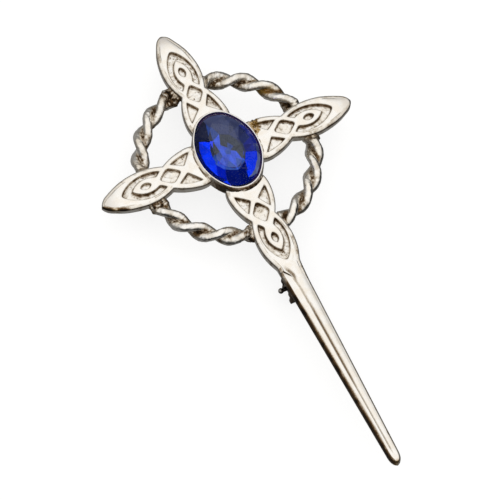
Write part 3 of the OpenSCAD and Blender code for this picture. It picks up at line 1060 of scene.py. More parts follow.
    def build(self) -> bpy.types.Object:
        """Carries the section loop (face, edge, wall, foot, back) along the arm.

        Returns:
            The piece.
        """
        rows = self.stations()
        half = np.maximum(self.half_width(rows), 0.012)
        edge_in, edge_down = self.edge_size(rows)
        edge_in = np.minimum(edge_in, half * 0.92)
        inner = (half - edge_in)[:, None] * np.linspace(-1, 1, self.top_columns)
        along = self.fit(inner, rows)
        z, hollow, grain, brass = self.top(inner, along)
        near = np.clip(1 - (self.end - rows) / edge_in.max(), 0, 1)
        z = z - (edge_down * (1 - np.sqrt(1 - near**2)))[:, None]
        place = self.world(inner, along, z)
        z = z + 0.010 * noise(place, 1.7, self.seed + 5) + 0.004 * noise(place, 0.6, self.seed + 6)
        v_side, z_side, below = self.sides(half, edge_in, edge_down, z)
        v = np.concatenate([inner, v_side], 1)
        u = self.fit(v, rows)
        points = self.world(v, u, np.concatenate([z, z_side], 1))
        beyond = (slice(None), slice(self.top_columns, None))
        # worn carries the brass and, on the left arm, the painted gold highlight.
        skin, worn = self.side_dress(points[beyond], v_side, u[beyond], below, edge_down)
        shell = Shell(self.name, METAL_LAYERS)
        shell.grid(
            points,
            capped=True,
            hollow=np.concatenate([hollow, skin], 1),
            grain=np.concatenate([grain, np.full(skin.shape, 0.25)], 1),
            brass=np.concatenate([brass, worn], 1),
            dull=self.tip_dull * ease(self.reach - 4, self.reach - 0.6, u),
        )
        return shell.piece()

    def flank(self, points: Array, u: Array) -> Array:
        """Darkening of the side walls, strongest just below the face's edge."""
        z = points[..., 2]
        return 0.2 * ease(FACE_Z - 1.9, FACE_Z - 0.9, z) * ease(FACE_Z - 0.3, FACE_Z - 0.8, z)

    def local(self, x: float | Array, y: float | Array) -> tuple[float | Array, float | Array]:
        """Turns x, y of the part's frame into the arm's v and u: v = x cos t + y sin t."""
        t = math.radians(self.turn)
        return x * math.cos(t) + y * math.sin(t), y * math.cos(t) - x * math.sin(t)

    def world(self, v: Array, u: Array, z: Array) -> Array:
        """Puts arm coordinates into the part's frame: x = v cos t - u sin t, y likewise."""
        t = math.radians(self.turn)
        x = v * math.cos(t) - u * math.sin(t)
        return np.stack([x, v * math.sin(t) + u * math.cos(t) + MIDDLE_Y, z], -1)


@dataclass
class ShaftLeaf(Leaf):
    """The lower arm, whose leaf runs on into the long tapered shaft.

    Attributes:
        shaft_reach: Middle of the stone to the shaft's tip.
        shaft_top: Half width of the shaft where it leaves the leaf.
        shaft_tip: Half width of the shaft before its rounded tip.
        shaft_from: Where the shaft begins under the leaf.
        shaft_drop: Ridge of the shaft below the arms' face.
        shaft_bow: Fall of the shaft's face to its sides, as a share of the half width.
        nose_run: Length of the rounded tip.
        shaft_in: How far the shaft's edge reaches in.
        shaft_down: How far it reaches down.
        line_share: Place of the long line, as a share of the half width, to the left.
        ridge: Path of the left border on the leaf: place along and across.
    """

    shaft_reach: float = 77.2
    shaft_top: float = 2.7
    shaft_tip: float = 1.25
    shaft_from: float = 25.8
    shaft_drop: float = 0.7
    shaft_bow: float = 0.33
    nose_run: float = 2.6
    shaft_in: float = 0.62
    shaft_down: float = 1.0
    line_share: float = 0.09
    ridge: Pairs = (
        (22.5, -2.85), (24.5, -2.8), (26.2, -2.51), (28.5, -1.84), (30.2, -1.15),
        (31.4, -0.72), (32.8, -0.48), (38.0, -0.32),
    )

    @property
    def end(self) -> float:
        """Distance of the shaft's tip from the stone's middle."""
        return self.shaft_reach

    def shaft_half(self, u: Array) -> Array:
        """Half width of the shaft: a straight taper, rounded at the tip.

        Args:
            u: Distances from the stone's middle.

        Returns:
            Half widths.
        """
        taper = (self.shaft_top - self.shaft_tip) / (self.shaft_reach + 1 - self.shaft_from)
        straight = self.shaft_top - taper * (u - self.shaft_from)
        near = np.clip((u - self.shaft_reach + self.nose_run) / self.nose_run, 0, 1)
        return straight * np.sqrt(1 - near**2.6)

    def half_width(self, u: Array) -> Array:
        """The wider of the leaf and the shaft.

        Args:
            u: Distances from the stone's middle.

        Returns:
            Half widths.
        """
        leaf = np.where(u < self.reach, super().half_width(np.minimum(u, self.reach)), 0)
        shaft = np.where(u > self.shaft_from, self.shaft_half(u), 0)
        return np.maximum(soft_max(leaf, shaft, 0.1), 0)

    def edge_size(self, u: Array) -> tuple[Array, Array]:
        """The shaft's edges are rounder than the leaf's."""
        t = ease(26.5, 34, u)
        down = self.edge_down + (self.shaft_down - self.edge_down) * t
        return self.edge_in + (self.shaft_in - self.edge_in) * t, down

    def stations(self) -> Array:
        """Close sections on the leaf, wider ones down the shaft, close ones at its tip."""
        leaf = np.arange(self.start, 34.5, self.step)
        shaft = np.linspace(leaf[-1] + 0.25, self.shaft_reach - 1.4, 170)
        nose = crowded(shaft[-1], self.shaft_reach - TIP_STOP, 26)
        return np.concatenate([leaf, shaft[:-1], nose])

    def marks(self, v: Array, u: Array) -> list[tuple[float, float, Array]]:
        """Cast marks and painted shade where the left border sweeps into the long line.

        In order: the ground left of the border, the lower ground and a painted shadow
        line at the step under the leaf's right border, a bead on the left border, dips
        beside it darkened by painted shade, the long line's groove darkened by painted
        shade, painted shade beside it, a streak with a little painted shade, fine
        drawn lines, the seam at the stone and a band of painted shade along the
        shaft's left edge.

        Args:
            v: Across the arm.
            u: From the stone's middle outwards.

        Returns:
            Rise in millimetres, darkening and strength at each point, for each mark; the
            darkening is tarnish at the seam and painted shade elsewhere.
        """
        x, half, tip = -v, self.shaft_half(u), self.shaft_reach
        on_leaf = u < self.ridge[-1][0]
        ridge = np.where(on_leaf, smooth_path(u, self.ridge), -self.line_share * half)
        left_of = ease(0.0, 0.9, ridge - x) * ease(23, 26, u) * ease(34, 31, u)
        notch = -2.05 + (u - 28.87) * 0.6
        fade = ease(32.6, 30.0, u) * ease(27.6, 28.3, u)
        under = ease(-0.02, 0.14, notch - x) * fade
        # Painted shadow: a dark line along the step, with no rise.
        step = bump(x, notch - 0.04, 0.12) * fade * ease(31.3, 30.5, u)
        crest = bump(x, ridge + 0.12, 0.22) * ease(24, 27, u) * ease(32.2, 30.8, u)
        # Painted shade: the dips beside the bead are darkened.
        dip_shade = bump(x, ridge + 0.6, 0.38) * bump(u, 29.9, 1.3)
        dip_shade = dip_shade + 0.7 * bump(x, -0.35, 0.24) * bump(u, 31.4, 0.8)
        # The groove is cut; its darkening is painted shade.
        groove = bump(x, ridge, 0.15 + 0.11 * ease(64, 50, u)) * ease(30.4, 32.4, u)
        groove = groove * ease(tip - 1.0, tip - 4, u)
        groove = groove * (0.6 + 0.4 * ease(36, 42, u)) * (1 - 0.35 * ease(56, 60, u))
        # Painted shade: a light darkening beside the long line.
        shoulder = bump(x, ridge + 0.3, 0.3) * ease(32, 38, u) * ease(60, 50, u)
        # Painted shade: the streak's shallow dent is darkened a little.
        streak = bump(x, 2.32 - (u - 26.17) * 0.755, 0.28) * bump(u, 27.3, 1.2)
        lines = noise(np.stack([x * 9, u * 0.4, 0 * u], -1), 1.0, self.seed + 16)
        lines = lines * ease(0.1, 0.4, ridge - x) * ease(31, 34, u)
        patchy = 0.8 + 0.4 * noise(np.stack([v, u, 0 * u], -1), 0.45, self.seed + 46)
        root = bump(self.beyond(v, u), 0.7, 0.16) * ease(-1.5, 0.0, x) * patchy
        brink = half - self.edge_size(u)[0] + x
        # Painted shade: a dark band along the shaft's left edge.
        verge = bump(brink, -0.05, 0.26) * ease(35, 40, u) * ease(tip - 2, tip - 8, u)
        return [
            (-0.12, 0.0, left_of), (-0.2, 0.0, under), (0.0, 0.7, step), (0.07, 0.0, crest),
            (-0.26, 0.5, dip_shade), (-0.2, 0.52, groove), (0.0, 0.08, shoulder),
            (-0.05, 0.1, streak), (0.006, 0.0, lines), (-0.14, 0.9, root), (0.0, 0.45, verge),
        ]

    def top(self, v: Array, u: Array) -> tuple[Array, Array, Array, Array]:
        """Leaf and shaft blended by a smooth step, with the marks of the lower arm.

        Args:
            v: Across the arm.
            u: From the stone's middle outwards.

        Returns:
            Height, tarnish with painted shade, grain and brass.
        """
        z, hollow, grain, brass = super().top(v, np.minimum(u, self.reach + 0.5))
        crumbs = ease(1.3, 0.6, np.hypot(v + 0.25, u - 25.5)) * self.grit(v, u, 0.32, 40) * grain
        on_leaf = ease(31.0, 28.5, u)
        leaf_z = self.face(v, np.minimum(u, 36))
        z = leaf_z + (z + 0.1 * crumbs - leaf_z) * on_leaf
        hollow = (hollow + 0.5 * np.clip(crumbs, 0, 1)) * on_leaf
        half = self.shaft_half(u)
        bow = half * np.minimum((v / np.maximum(half, 0.3)) ** 2, 1.6)
        t = ease(26.5, 34.5, u)
        z = z * (1 - t) + (FACE_Z - self.shaft_drop - self.shaft_bow * bow) * t
        # The marks' darkening is painted shade, but for the seam's tarnish.
        for rise, darkening, mark in self.marks(v, u):
            z = z + rise * mark
            hollow = hollow + darkening * mark
        brass = np.maximum(brass, self.wear(v, u)[0])
        return z, np.clip(hollow, 0, 1), grain * on_leaf, brass

    def wear(self, v: Array, u: Array) -> tuple[Array, Array]:
        """Brass at the very end of the shaft, besides the worn patches."""
        brass, bite = super().wear(v, u)
        end = bump(u, self.shaft_reach - 0.25, 0.4) * bump(v, 0.1, 0.5)
        return np.maximum(brass, end), bite

    def flank(self, points: Array, u: Array) -> Array:
        """Painted shade darkening the left flank of the shaft, over a paler foot.

        Args:
            points: Points of the surface.
            u: From the stone's middle outwards.

        Returns:
            Darkening of the walls, with the painted shade of the left flank.
        """
        # Painted shade: the shaft's left flank is darkened, less near its top and not at its foot.
        left = ease(-0.2, -0.6, points[..., 0]) * ease(28, 34, u)
        patchy = 0.62 + 0.13 * layered_noise(points, 1.6, self.seed + 30)
        high = 1 - 0.55 * ease(7.7, 8.3, points[..., 2])
        dark = patchy * high * left * ease(BACK_Z + 0.1, BACK_Z + 0.8, points[..., 2])
        return super().flank(points, u) + dark


@dataclass
class RopeRing:
    """Ring of a two-strand rope that turns into a plain bar behind the arms.

    Attributes:
        arms: Direction and half width of each arm where the ring meets it.
        radius: Middle of the rope from the stone's middle.
        level: Height of the rope's middle.
        strand_r: Radius of one strand.
        strand_off: Middle of a strand from the middle of the rope.
        turns: Full turns of the rope round the ring.
        phase: Turn of the section at ring angle 0, in degrees.
        bar_w: Width of the bar.
        bar_t: Thickness of the bar.
        bar_run: Length over which the rope turns into the bar.
        webs: Direction and strength of the rough metal left beside the arms; its
            darkening is tarnish and painted shade where the rope meets an arm.
        gilt: Direction of the place that is worn to the brass.
        sides: Points round the section.
        steps: Sections round the ring.
    """

    arms: list[tuple[float, float]]
    radius: float = 18.2
    level: float = 6.1
    strand_r: float = 1.08
    strand_off: float = 0.9
    turns: int = 10
    phase: float = 44.0
    bar_w: float = 3.2
    bar_t: float = 2.6
    bar_run: float = 1.0
    webs: Pairs = (
        (-169.3, 1.0), (105.2, 0.8), (-101.9, 0.9), (-10.6, 0.5),
        (75.0, 0.25), (-81.2, 0.15), (17.7, 0.2), (163.0, 0.2),
    )
    gilt: float = 38.0
    sides: int = 72
    steps: int = 1080

    def from_arm(self, t: Array) -> Array:
        """Distance along the ring from angle t (radians) to the nearest arm's edge."""
        return np.min([self.along(t, turn + 90) - half for turn, half in self.arms], axis=0)

    def web(self, t: Array) -> Array:
        """Strength of the webs at ring angle t, each fading over its sides."""
        return np.max([s * ease(2.6, 0.6, self.along(t, d)) for d, s in self.webs], axis=0)

    def along(self, t: Array, direction: float) -> Array:
        """Distance along the ring from angle t (radians) to a direction in degrees."""
        return angle_between(t, math.radians(direction)) * self.radius

    def sweep(self, t: Array, turn: Array, wide: Array, high: Array) -> Array:
        """Points of the section, turned by turn, at ring angle t, from the stone's middle."""
        radius = self.radius + wide * np.cos(turn)
        level = self.level + high * np.sin(turn)
        return np.stack([radius * np.cos(t), radius * np.sin(t), level], -1)

    def build(self) -> bpy.types.Object:
        """Sweeps the section round the ring.

        The section is the outline of two circles side by side, reach(a) = off |cos a| +
        sqrt(r^2 - (off sin a)^2), turned by the rope's twist, so the grid's lines follow
        the grooves. Near an arm it blends into a plain oval bar.

        Returns:
            The piece.
        """
        t = np.linspace(0, TAU, self.steps, endpoint=False)[:, None]
        a = np.linspace(0, TAU, self.sides, endpoint=False)[None, :]
        off, r = self.strand_off, self.strand_r
        reach = off * np.abs(np.cos(a)) + np.sqrt(r**2 - (off * np.sin(a)) ** 2)
        bar = 1 - ease(0, self.bar_run, self.from_arm(t))
        web = self.web(t)
        flare = 0.5 * web * ease(2.0, 0.0, self.from_arm(t))
        wide = reach * (1 - bar) + self.bar_w / 2 * bar + flare
        high = reach * (1 - bar) + self.bar_t / 2 * bar
        turn = a + self.turns * t + math.radians(self.phase)
        groove = bump(np.abs(np.sin(a)), 1.0, 0.13) * (1 - bar)
        place = self.sweep(t, turn, wide, high)
        rough = layered_noise(place, 0.5, 77)
        out = 1 + 0.034 * layered_noise(place, 1.1, 71) + (0.02 + web * 0.08) * rough
        out = out - 0.07 * groove * (1 + 0.6 * rough)
        points = self.sweep(t, turn, wide * out, high * out) + np.array([0, MIDDLE_Y, 0])
        # Painted shade: the rope is darker on its underside and on its inner side.
        under = ease(0.35, -0.5, np.sin(turn))
        inner = ease(0.2, 0.9, -np.cos(turn)) * ease(0.75, 0.1, np.sin(turn))
        patch = np.clip(layered_noise(place, 2.2, 81), 0, 1)
        near = bump(np.abs(np.sin(a)), 1.0, 0.36) * (1 - bar)
        hollow = 0.32 * groove + near * (0.04 + 0.26 * patch + 0.3 * rough)
        # The webs' darkening is tarnish and painted shade where the rope meets an arm.
        hollow = hollow + web * (0.36 + 0.5 * rough) + 0.06 * under + inner * (0.02 + 0.2 * patch)
        hollow = hollow + 0.09 + 0.16 * np.clip(layered_noise(place, 1.3, 85), -0.4, 1)
        # Painted light: the outward side towards the lit part of the dome keeps less darkening.
        lit = ease(0.1, 0.8, np.cos(turn) * np.cos(t - math.radians(111)))
        hollow = hollow * (1 - 0.7 * lit * ease(0.7, 0.1, np.sin(turn)))
        hollow = np.clip(hollow, 0, 1)
        brass = np.clip(1.3 * near * bump(t, math.radians(self.gilt), 0.09), 0, 1)
        shell = Shell("rope_ring", METAL_LAYERS)
        shell.grid(points, round_rows=True, hollow=hollow, grain=0.2 + 0.7 * web, brass=brass)
        return shell.piece()


@dataclass
class Setting:
    """Raised cup with a thin rim round the stone.

    Attributes:
        oval: Outline of the stone.
        gap: Between stone and rim.
        rim_w: Width of the rim.
        ledge_w: Width of the ledge that carries the stone.
        ledge_z: Height of the ledge.
        floor_z: Height of the cup's floor.
        inmost: Distance outwards below which the outline shrinks to its middle.
        columns: Points round the cup.
    """

    oval: Oval
    gap: float = 0.08
    rim_w: float = 0.5
    ledge_w: float = 0.7
    ledge_z: float = 8.93
    floor_z: float = 7.0
    inmost: float = -4.6
    columns: int = 640

    def profile(self) -> Array:
        """Distance outwards and height of each point of the cup's section, from below."""
        out, ledge = self.gap + self.rim_w, -self.ledge_w
        top, arc = RIM_Z - 0.12, np.linspace(0, math.pi / 2, 6)
        rows = [(-6.2, BACK_Z), (-3.0, BACK_Z), (out - 0.2, BACK_Z), (out, BACK_Z + 0.2)]
        rows += [(out, z) for z in np.linspace(BACK_Z + 0.5, RIM_Z - 0.8, 12)]
        rows += [(out, RIM_Z - 0.75), (out - 0.05, RIM_Z - 0.62), (out - 0.2, RIM_Z - 0.22)]
        rows += [(out - 0.34 + 0.12 * math.cos(b), top + 0.12 * math.sin(b)) for b in arc]
        rows += [(self.gap + 0.1 - 0.1 * math.sin(b), top + 0.12 * math.cos(b)) for b in arc]
        rows += [(self.gap, self.ledge_z + 0.02), (self.gap - 0.02, self.ledge_z)]
        rows += [(ledge, self.ledge_z), (ledge, self.floor_z + 0.1), (ledge - 0.1, self.floor_z)]
        rows += [(-3.0, self.floor_z), (-6.2, self.floor_z)]
        return np.array(rows)

    def build(self) -> bpy.types.Object:
        """Carries the cup's profile round the oval.

        Tarnish lies on the wall, on its slanted top and inside the cup; a painted
        shadow lies below the rim on the lower side, where a little brass shows.

        Returns:
            The piece.
        """
        profile, out = self.profile(), self.gap + self.rim_w
        grow, height = profile[:, :1], profile[:, 1:]
        a = np.linspace(0, TAU, self.columns, endpoint=False)[None, :]
        shape = (len(profile), self.columns)
        xy = self.oval.point(np.broadcast_to(a, shape), np.maximum(grow, self.inmost))
        xy = xy * np.where(grow < self.inmost, 0.02, 1.0)[..., None]
        points = np.concatenate([xy, np.broadcast_to(height, shape)[..., None]], -1)
        wobble = noise(points, 1.3, 31)
        ragged = noise(points, 0.42, 33)
        on_wall = bump(grow, out, 0.02) * ease(RIM_Z - 0.25, RIM_Z - 0.45, height)
        move = 0.02 * wobble * bump(grow, out, 0.3) + 0.02 * ragged * on_wall
        points[..., 0] += move * np.cos(a)
        points[..., 1] += move * np.sin(a) + MIDDLE_Y
        points[..., 2] += 0.03 * wobble * (height > RIM_Z - 0.3)
        hollow = (0.22 + 0.35 * np.abs(ragged)) * on_wall * ease(RIM_Z - 0.3, FACE_Z + 0.3, height)
        slanted = bump(grow, out - 0.1, 0.14) * ease(RIM_Z, RIM_Z - 0.3, height)
        slanted = slanted * ease(BACK_Z + 0.4, BACK_Z + 1, height)
        hollow = hollow + (0.16 + 0.12 * wobble) * slanted
        hollow = hollow + 0.5 * (grow < self.gap) * (height > BACK_Z + 0.3)
        # Painted shadow: a dark band below the rim on the lower side.
        near = ease(3.55, 3.85, a) * ease(5.25, 4.95, a) * (grow > out - 0.21)
        near = near * ease(RIM_Z - 0.15, RIM_Z - 0.22, height)
        hollow = np.clip(hollow + (0.42 + 0.2 * ragged) * near, 0, 1)
        gilt = 0.5 * bump(a, 4.45, 0.22) * bump(height, RIM_Z - 0.16, 0.09) * (grow > out - 0.3)
        shell = Shell("stone_setting", METAL_LAYERS)
        shell.grid(points, capped=True, hollow=hollow, grain=0.5 * on_wall, brass=gilt)
        return shell.piece()


def resample(outline: Array, step: float) -> Array:
    """Points about a step apart along a closed outline, its corners kept.

    Args:
        outline: Corners in order.
        step: Largest spacing, but for rounding.

    Returns:
        The points.
    """
    rows = []
    for a, b in zip(outline, np.roll(outline, -1, 0)):
        n = max(1, int(np.linalg.norm(b - a) / step))
        rows.append(a + (b - a) * (np.arange(n) / n)[:, None])
    return np.concatenate(rows)


def prism(
    name: str, parts: list[tuple[Array, float, float]], seed: int, darkening: float = 0.25
) -> bpy.types.Object:
    """Extrudes outlines (x, z) along y, each with softly rounded ends.

    Args:
        name: Name of the piece.
        parts: Outline, middle along y and length of each prism.
        seed: Seed of the surface's unevenness.
        darkening: How dark the metal is on the whole.

    Returns:
        The piece.
    """
    shell = Shell(name, METAL_LAYERS)
    near_end = np.array([0.5, 0.48, 0.45, 0.3, 0.1])
    share = np.concatenate([-near_end, near_end[::-1]])
    drawn_in = np.interp(np.abs(share), [0.45, 0.48, 0.5], [0, 0.03, 0.08])[:, None, None]
    for outline, middle, length in parts:
        before, after = np.roll(outline, 1, 0), np.roll(outline, -1, 0)
        along = after - before
        normals = np.stack([along[:, 1], -along[:, 0]], -1)
        normals /= np.linalg.norm(normals, axis=1, keepdims=True)
        area = np.sum(outline[:, 0] * after[:, 1] - after[:, 0] * outline[:, 1])
        ring = outline - np.sign(area) * normals * drawn_in
        y = np.broadcast_to((middle + share * length)[:, None], ring.shape[:2])
        points = np.stack([ring[..., 0], y, ring[..., 1]], -1)
        hollow = np.clip(darkening + 0.4 * layered_noise(points, 0.9, seed), 0, 1)
        shell.grid(points, capped=True, hollow=hollow, grain=0.4)
    return shell.piece()


def revolve(axis: int, centre: tuple[float, float, float], profile: Array, columns: int) -> Array:
    """Turns a profile about an axis along x or y.

    Args:
        axis: 0 for x, 1 for y.
        centre: Point of the axis that the distances start from.
        profile: Rows of distance along the axis and radius.
        columns: Points round the axis.

    Returns:
        Points, rows by columns by 3.
    """
    turn = np.linspace(0, TAU, columns, endpoint=False)[None, :]
    r = np.maximum(profile[:, 1:], 0.003)
    points = np.zeros((len(profile), columns, 3))
    points[..., axis] = profile[:, :1]
    points[..., 1 - axis] = r * np.cos(turn)
    points[..., 2] = r * np.sin(turn)
    return points + np.array(centre)


@dataclass
class Hinge:
    """Block that the needle's pivot sits in, a U seen along the pin.

    Attributes:
        at: Middle of the hinge above the stone's middle.
        length: Along the pin.
        width: Across the pin.
        slot: Width of the slot for the needle's eye.
        slot_top: Height of the slot's end.
        bevel: Size of the bevels at its feet.
    """

    at: float = 13.0
    length: float = 3.2
    width: float = 4.2
    slot: float = 1.5
    slot_top: float = 5.35
    bevel: float = 0.15

    def build(self) -> bpy.types.Object:
        """Extrudes the U along the pin, with its ends drawn in for a worn edge.

        Returns:
            The piece.
        """
        w, s, e = self.width / 2, self.slot / 2, self.bevel
        right = [
            (s, self.slot_top), (s, e), (s + e, 0), (w - e, 0), (w, e), (w, BACK_Z + 0.2),
        ]
        outline = np.array([(-x, z) for x, z in right[::-1]] + right)
        ring = resample(np.roll(outline, -2, 0), 0.12)
        return prism("hinge_block", [(ring, MIDDLE_Y + self.at, self.length)], 41)


@dataclass
class Catch:
    """The two cheeks soldered behind the shaft and the barrel that turns in them.

    Attributes:
        at: Middle of the catch below the stone's middle.
        length: Along the pin.
        cheek_t: Thickness of a cheek.
        width: Across the pin.
        foot: Width of a cheek's foot.
        barrel_r: Radius of the barrel in its cheeks.
        collar_r: Radius of its collar.
        bore_r: Radius of its bore.
        slot: Width of the slots.
        teeth: Teeth round the collar.
        lever_reach: Reach of the lever's ball.
        lever_r: Radius of the lever.
        ball_r: Radius of its ball.
        run_gap: Gap between barrel and cheeks, on the radius.
        side_gap: Gap beside the collar and over it.
    """

    at: float = 31.3
    length: float = 4.2
    cheek_t: float = 0.9
    width: float = 4.2
    foot: float = 3.2
    barrel_r: float = 1.35
    collar_r: float = 1.9
    bore_r: float = 0.75
    slot: float = 1.2
    teeth: int = 28
    lever_reach: float = 3.7
    lever_r: float = 0.45
    ball_r: float = 0.6
    run_gap: float = 0.05
    side_gap: float = 0.1

    @property
    def middle(self) -> float:
        """Middle of the catch along the pin, in the part's frame."""
        return MIDDLE_Y - self.at

    def cheek(self) -> Array:
        """Outline of a cheek: foot, round body, plate, and the open bore for the barrel.

        Returns:
            x and z of its points.
        """
        r, s, foot_w = self.width / 2, self.slot / 2, self.foot / 2
        bore = self.barrel_r + self.run_gap
        foot_top = -math.sqrt(r * r - foot_w * foot_w)
        a0 = math.asin(s / bore)
        inner = np.linspace(a0, TAU - a0, 40)
        right = np.linspace(math.asin(-s / r), math.atan2(foot_top, foot_w), 10)
        left = np.linspace(math.atan2(foot_top, -foot_w), -math.pi, 10)
        rows = [
            np.stack([r * np.cos(right), r * np.sin(right)], -1),
            np.array([[foot_w, -AXIS_Z], [-foot_w, -AXIS_Z]]),
            np.stack([r * np.cos(left), r * np.sin(left)], -1),
            np.array([[-r, 2.8], [r, 2.8], [r, s + 0.02]]),
            np.stack([bore * np.cos(inner), bore * np.sin(inner)], -1),
        ]
        return resample(np.concatenate(rows) + np.array([0, AXIS_Z]), 0.15)

    def build_cheeks(self) -> bpy.types.Object:
        """Extrudes both cheeks and the plate between them.

        Returns:
            The piece.
        """
        r, low = self.width / 2, AXIS_Z + self.collar_r + self.side_gap
        plate = np.array([[-r, low], [r, low], [r, BACK_Z + 0.2], [-r, BACK_Z + 0.2]])
        offset = (self.length - self.cheek_t) / 2
        parts = [(self.cheek(), self.middle + side * offset, self.cheek_t) for side in (1, -1)]
        parts.append((resample(plate, 0.2), self.middle, self.length - 0.3))
        return prism("catch_cheeks", parts, 43, 0.8)

    def barrel(self) -> Array:
        """C-shaped section swept along the needle, with a knurled collar.

        The section runs round the outside from one side of the slot to the other and
        back round the bore. The outside is wider over the collar, which has fine teeth:
        r + 0.045 (cos 28a - 1).

        Returns:
            Points, rows by columns by 3.
        """
        half = self.length / 2 - self.side_gap
        collar = self.length / 2 - self.cheek_t - self.side_gap
        end_rows = [[-half, -half + 0.06], np.linspace(-half + 0.08, -collar - 0.005, 4)]
        left = np.concatenate([*end_rows, [-collar, -collar + 0.08]])
        y = np.concatenate([left, np.linspace(-collar + 0.12, collar - 0.12, 12), -left[::-1]])
        on_collar = (np.abs(y) <= collar).astype(float)
        ends = 0.05 * (np.abs(y) >= half - 0.001) + 0.07 * (np.abs(np.abs(y) - collar) < 0.001)
        outer_r = (self.barrel_r + (self.collar_r - self.barrel_r) * on_collar - ends)[:, None]
        share = np.linspace(0, 1, 168)[None, :]
        gap = np.arcsin(self.slot / 2 / outer_r)
        a = -math.pi / 2 + gap + (TAU - 2 * gap) * share
        toothed = (on_collar * (ends == 0))[:, None]
        outer_r = outer_r + 0.045 * (np.cos(self.teeth * a) - 1) * toothed
        gap_in = math.asin(self.slot / 2 / self.bore_r)
        b = -math.pi / 2 + gap_in + (TAU - 2 * gap_in) * share[:, ::-1] + 0 * outer_r
        x = np.concatenate([outer_r * np.cos(a), self.bore_r * np.cos(b)], 1)
        z = np.concatenate([outer_r * np.sin(a), self.bore_r * np.sin(b)], 1)
        return np.stack([x, self.middle + y[:, None] + 0 * x, z + AXIS_Z], -1)

    def build_barrel(self) -> bpy.types.Object:
        """Builds the barrel and its lever, a turned rod with a ball, paler at its end.

        Returns:
            The piece.
        """
        shell = Shell("catch_barrel_piece", ("hollow",))
        points = self.barrel()
        darkening = 0.8 + 0.4 * layered_noise(points, 0.8, 51)
        shell.grid(points, capped=True, hollow=np.clip(darkening, 0, 1))
        tip = self.lever_reach
        rod = np.concatenate([[1.3, 1.7], np.linspace(1.8, tip - 2 * self.ball_r + 0.16, 7)])
        ball = np.linspace(0.85, math.pi, 15)
        x = np.concatenate([rod, tip - self.ball_r - self.ball_r * np.cos(ball)])
        r = np.concatenate([np.full(len(rod), self.lever_r), self.ball_r * np.sin(ball)])
        profile = np.stack([-x, np.maximum(r, 0.004)], -1)
        lever = revolve(0, (0.0, self.middle, AXIS_Z), profile, 40)
        paler_end = ease(tip - 0.55, tip - 0.15, x)[:, None]
        darkening = (0.9 + 0.3 * layered_noise(lever, 0.7, 53)) * (1 - paler_end)
        shell.grid(lever, capped=True, hollow=np.clip(darkening, 0, 1))
        return shell.piece()


@dataclass
class Needle:
    """Needle wire with its eye and pivot in the hinge and its ground point.

    Attributes:
        hinge_at: Pivot above the stone's middle.
        wire_r: Radius of the wire.
        end: Tip of the point below the stone's middle.
        point_l: Length of the point.
        eye_r: Radius of the eye.
        eye_t: Thickness of the eye.
        eye_edge: Size of the eye's worn edges.
        pivot_r: Radius of the pivot.
        pivot_half: Half length of the pivot.
        head: How much wider the pivot's heads are, on the radius.
    """

    hinge_at: float = 13.0
    wire_r: float = 0.5
    end: float = 35.0
    point_l: float = 3.0
    eye_r: float = 1.45
    eye_t: float = 1.3
    eye_edge: float = 0.12
    pivot_r: float = 0.6
    pivot_half: float = 2.1
    head: float = 0.12

    def build(self) -> bpy.types.Object:
        """Revolves the wire about y and the eye and the domed pivot about x.

        Returns:
            The piece.
        """
        pivot = (0.0, MIDDLE_Y + self.hinge_at, AXIS_Z)
        run = self.hinge_at + self.end
        wire = [(0.3, 0.0), (0.3, self.wire_r * 0.9)]
        wire += [(-s, self.wire_r) for s in np.linspace(0.0, run - self.point_l, 60)]
        for s in np.linspace(0.05, 1, 14):
            wire.append((self.point_l * (1 - s) - run, self.wire_r * (1 - s) ** 0.8 + 0.03 * s))
        e, t, r = self.eye_edge, self.eye_t / 2, self.eye_r
        eye = [(t - e, r), (t - e * 0.3, r - e * 0.3), (t, r - e), (t, 0)]
        stem, wide = self.pivot_half - 0.02, self.pivot_r + self.head
        dome = np.linspace(0, math.pi / 2, 6)
        pin = [(stem + 0.14 * math.sin(b), wide * math.cos(b)) for b in dome]
        eye, pin = ([(-x, r) for x, r in half[::-1]] + half for half in (eye, pin))
        shell = Shell("needle_wire", ("hollow",))
        for axis, profile, seed in ((1, wire, 61), (0, eye, 62), (0, pin, 63)):
            points = revolve(axis, pivot, np.array(profile), 48)
            darkening = np.clip(0.2 * layered_noise(points, 1.1, seed), 0, 1)
            shell.grid(points, capped=True, hollow=darkening)
        return shell.piece()


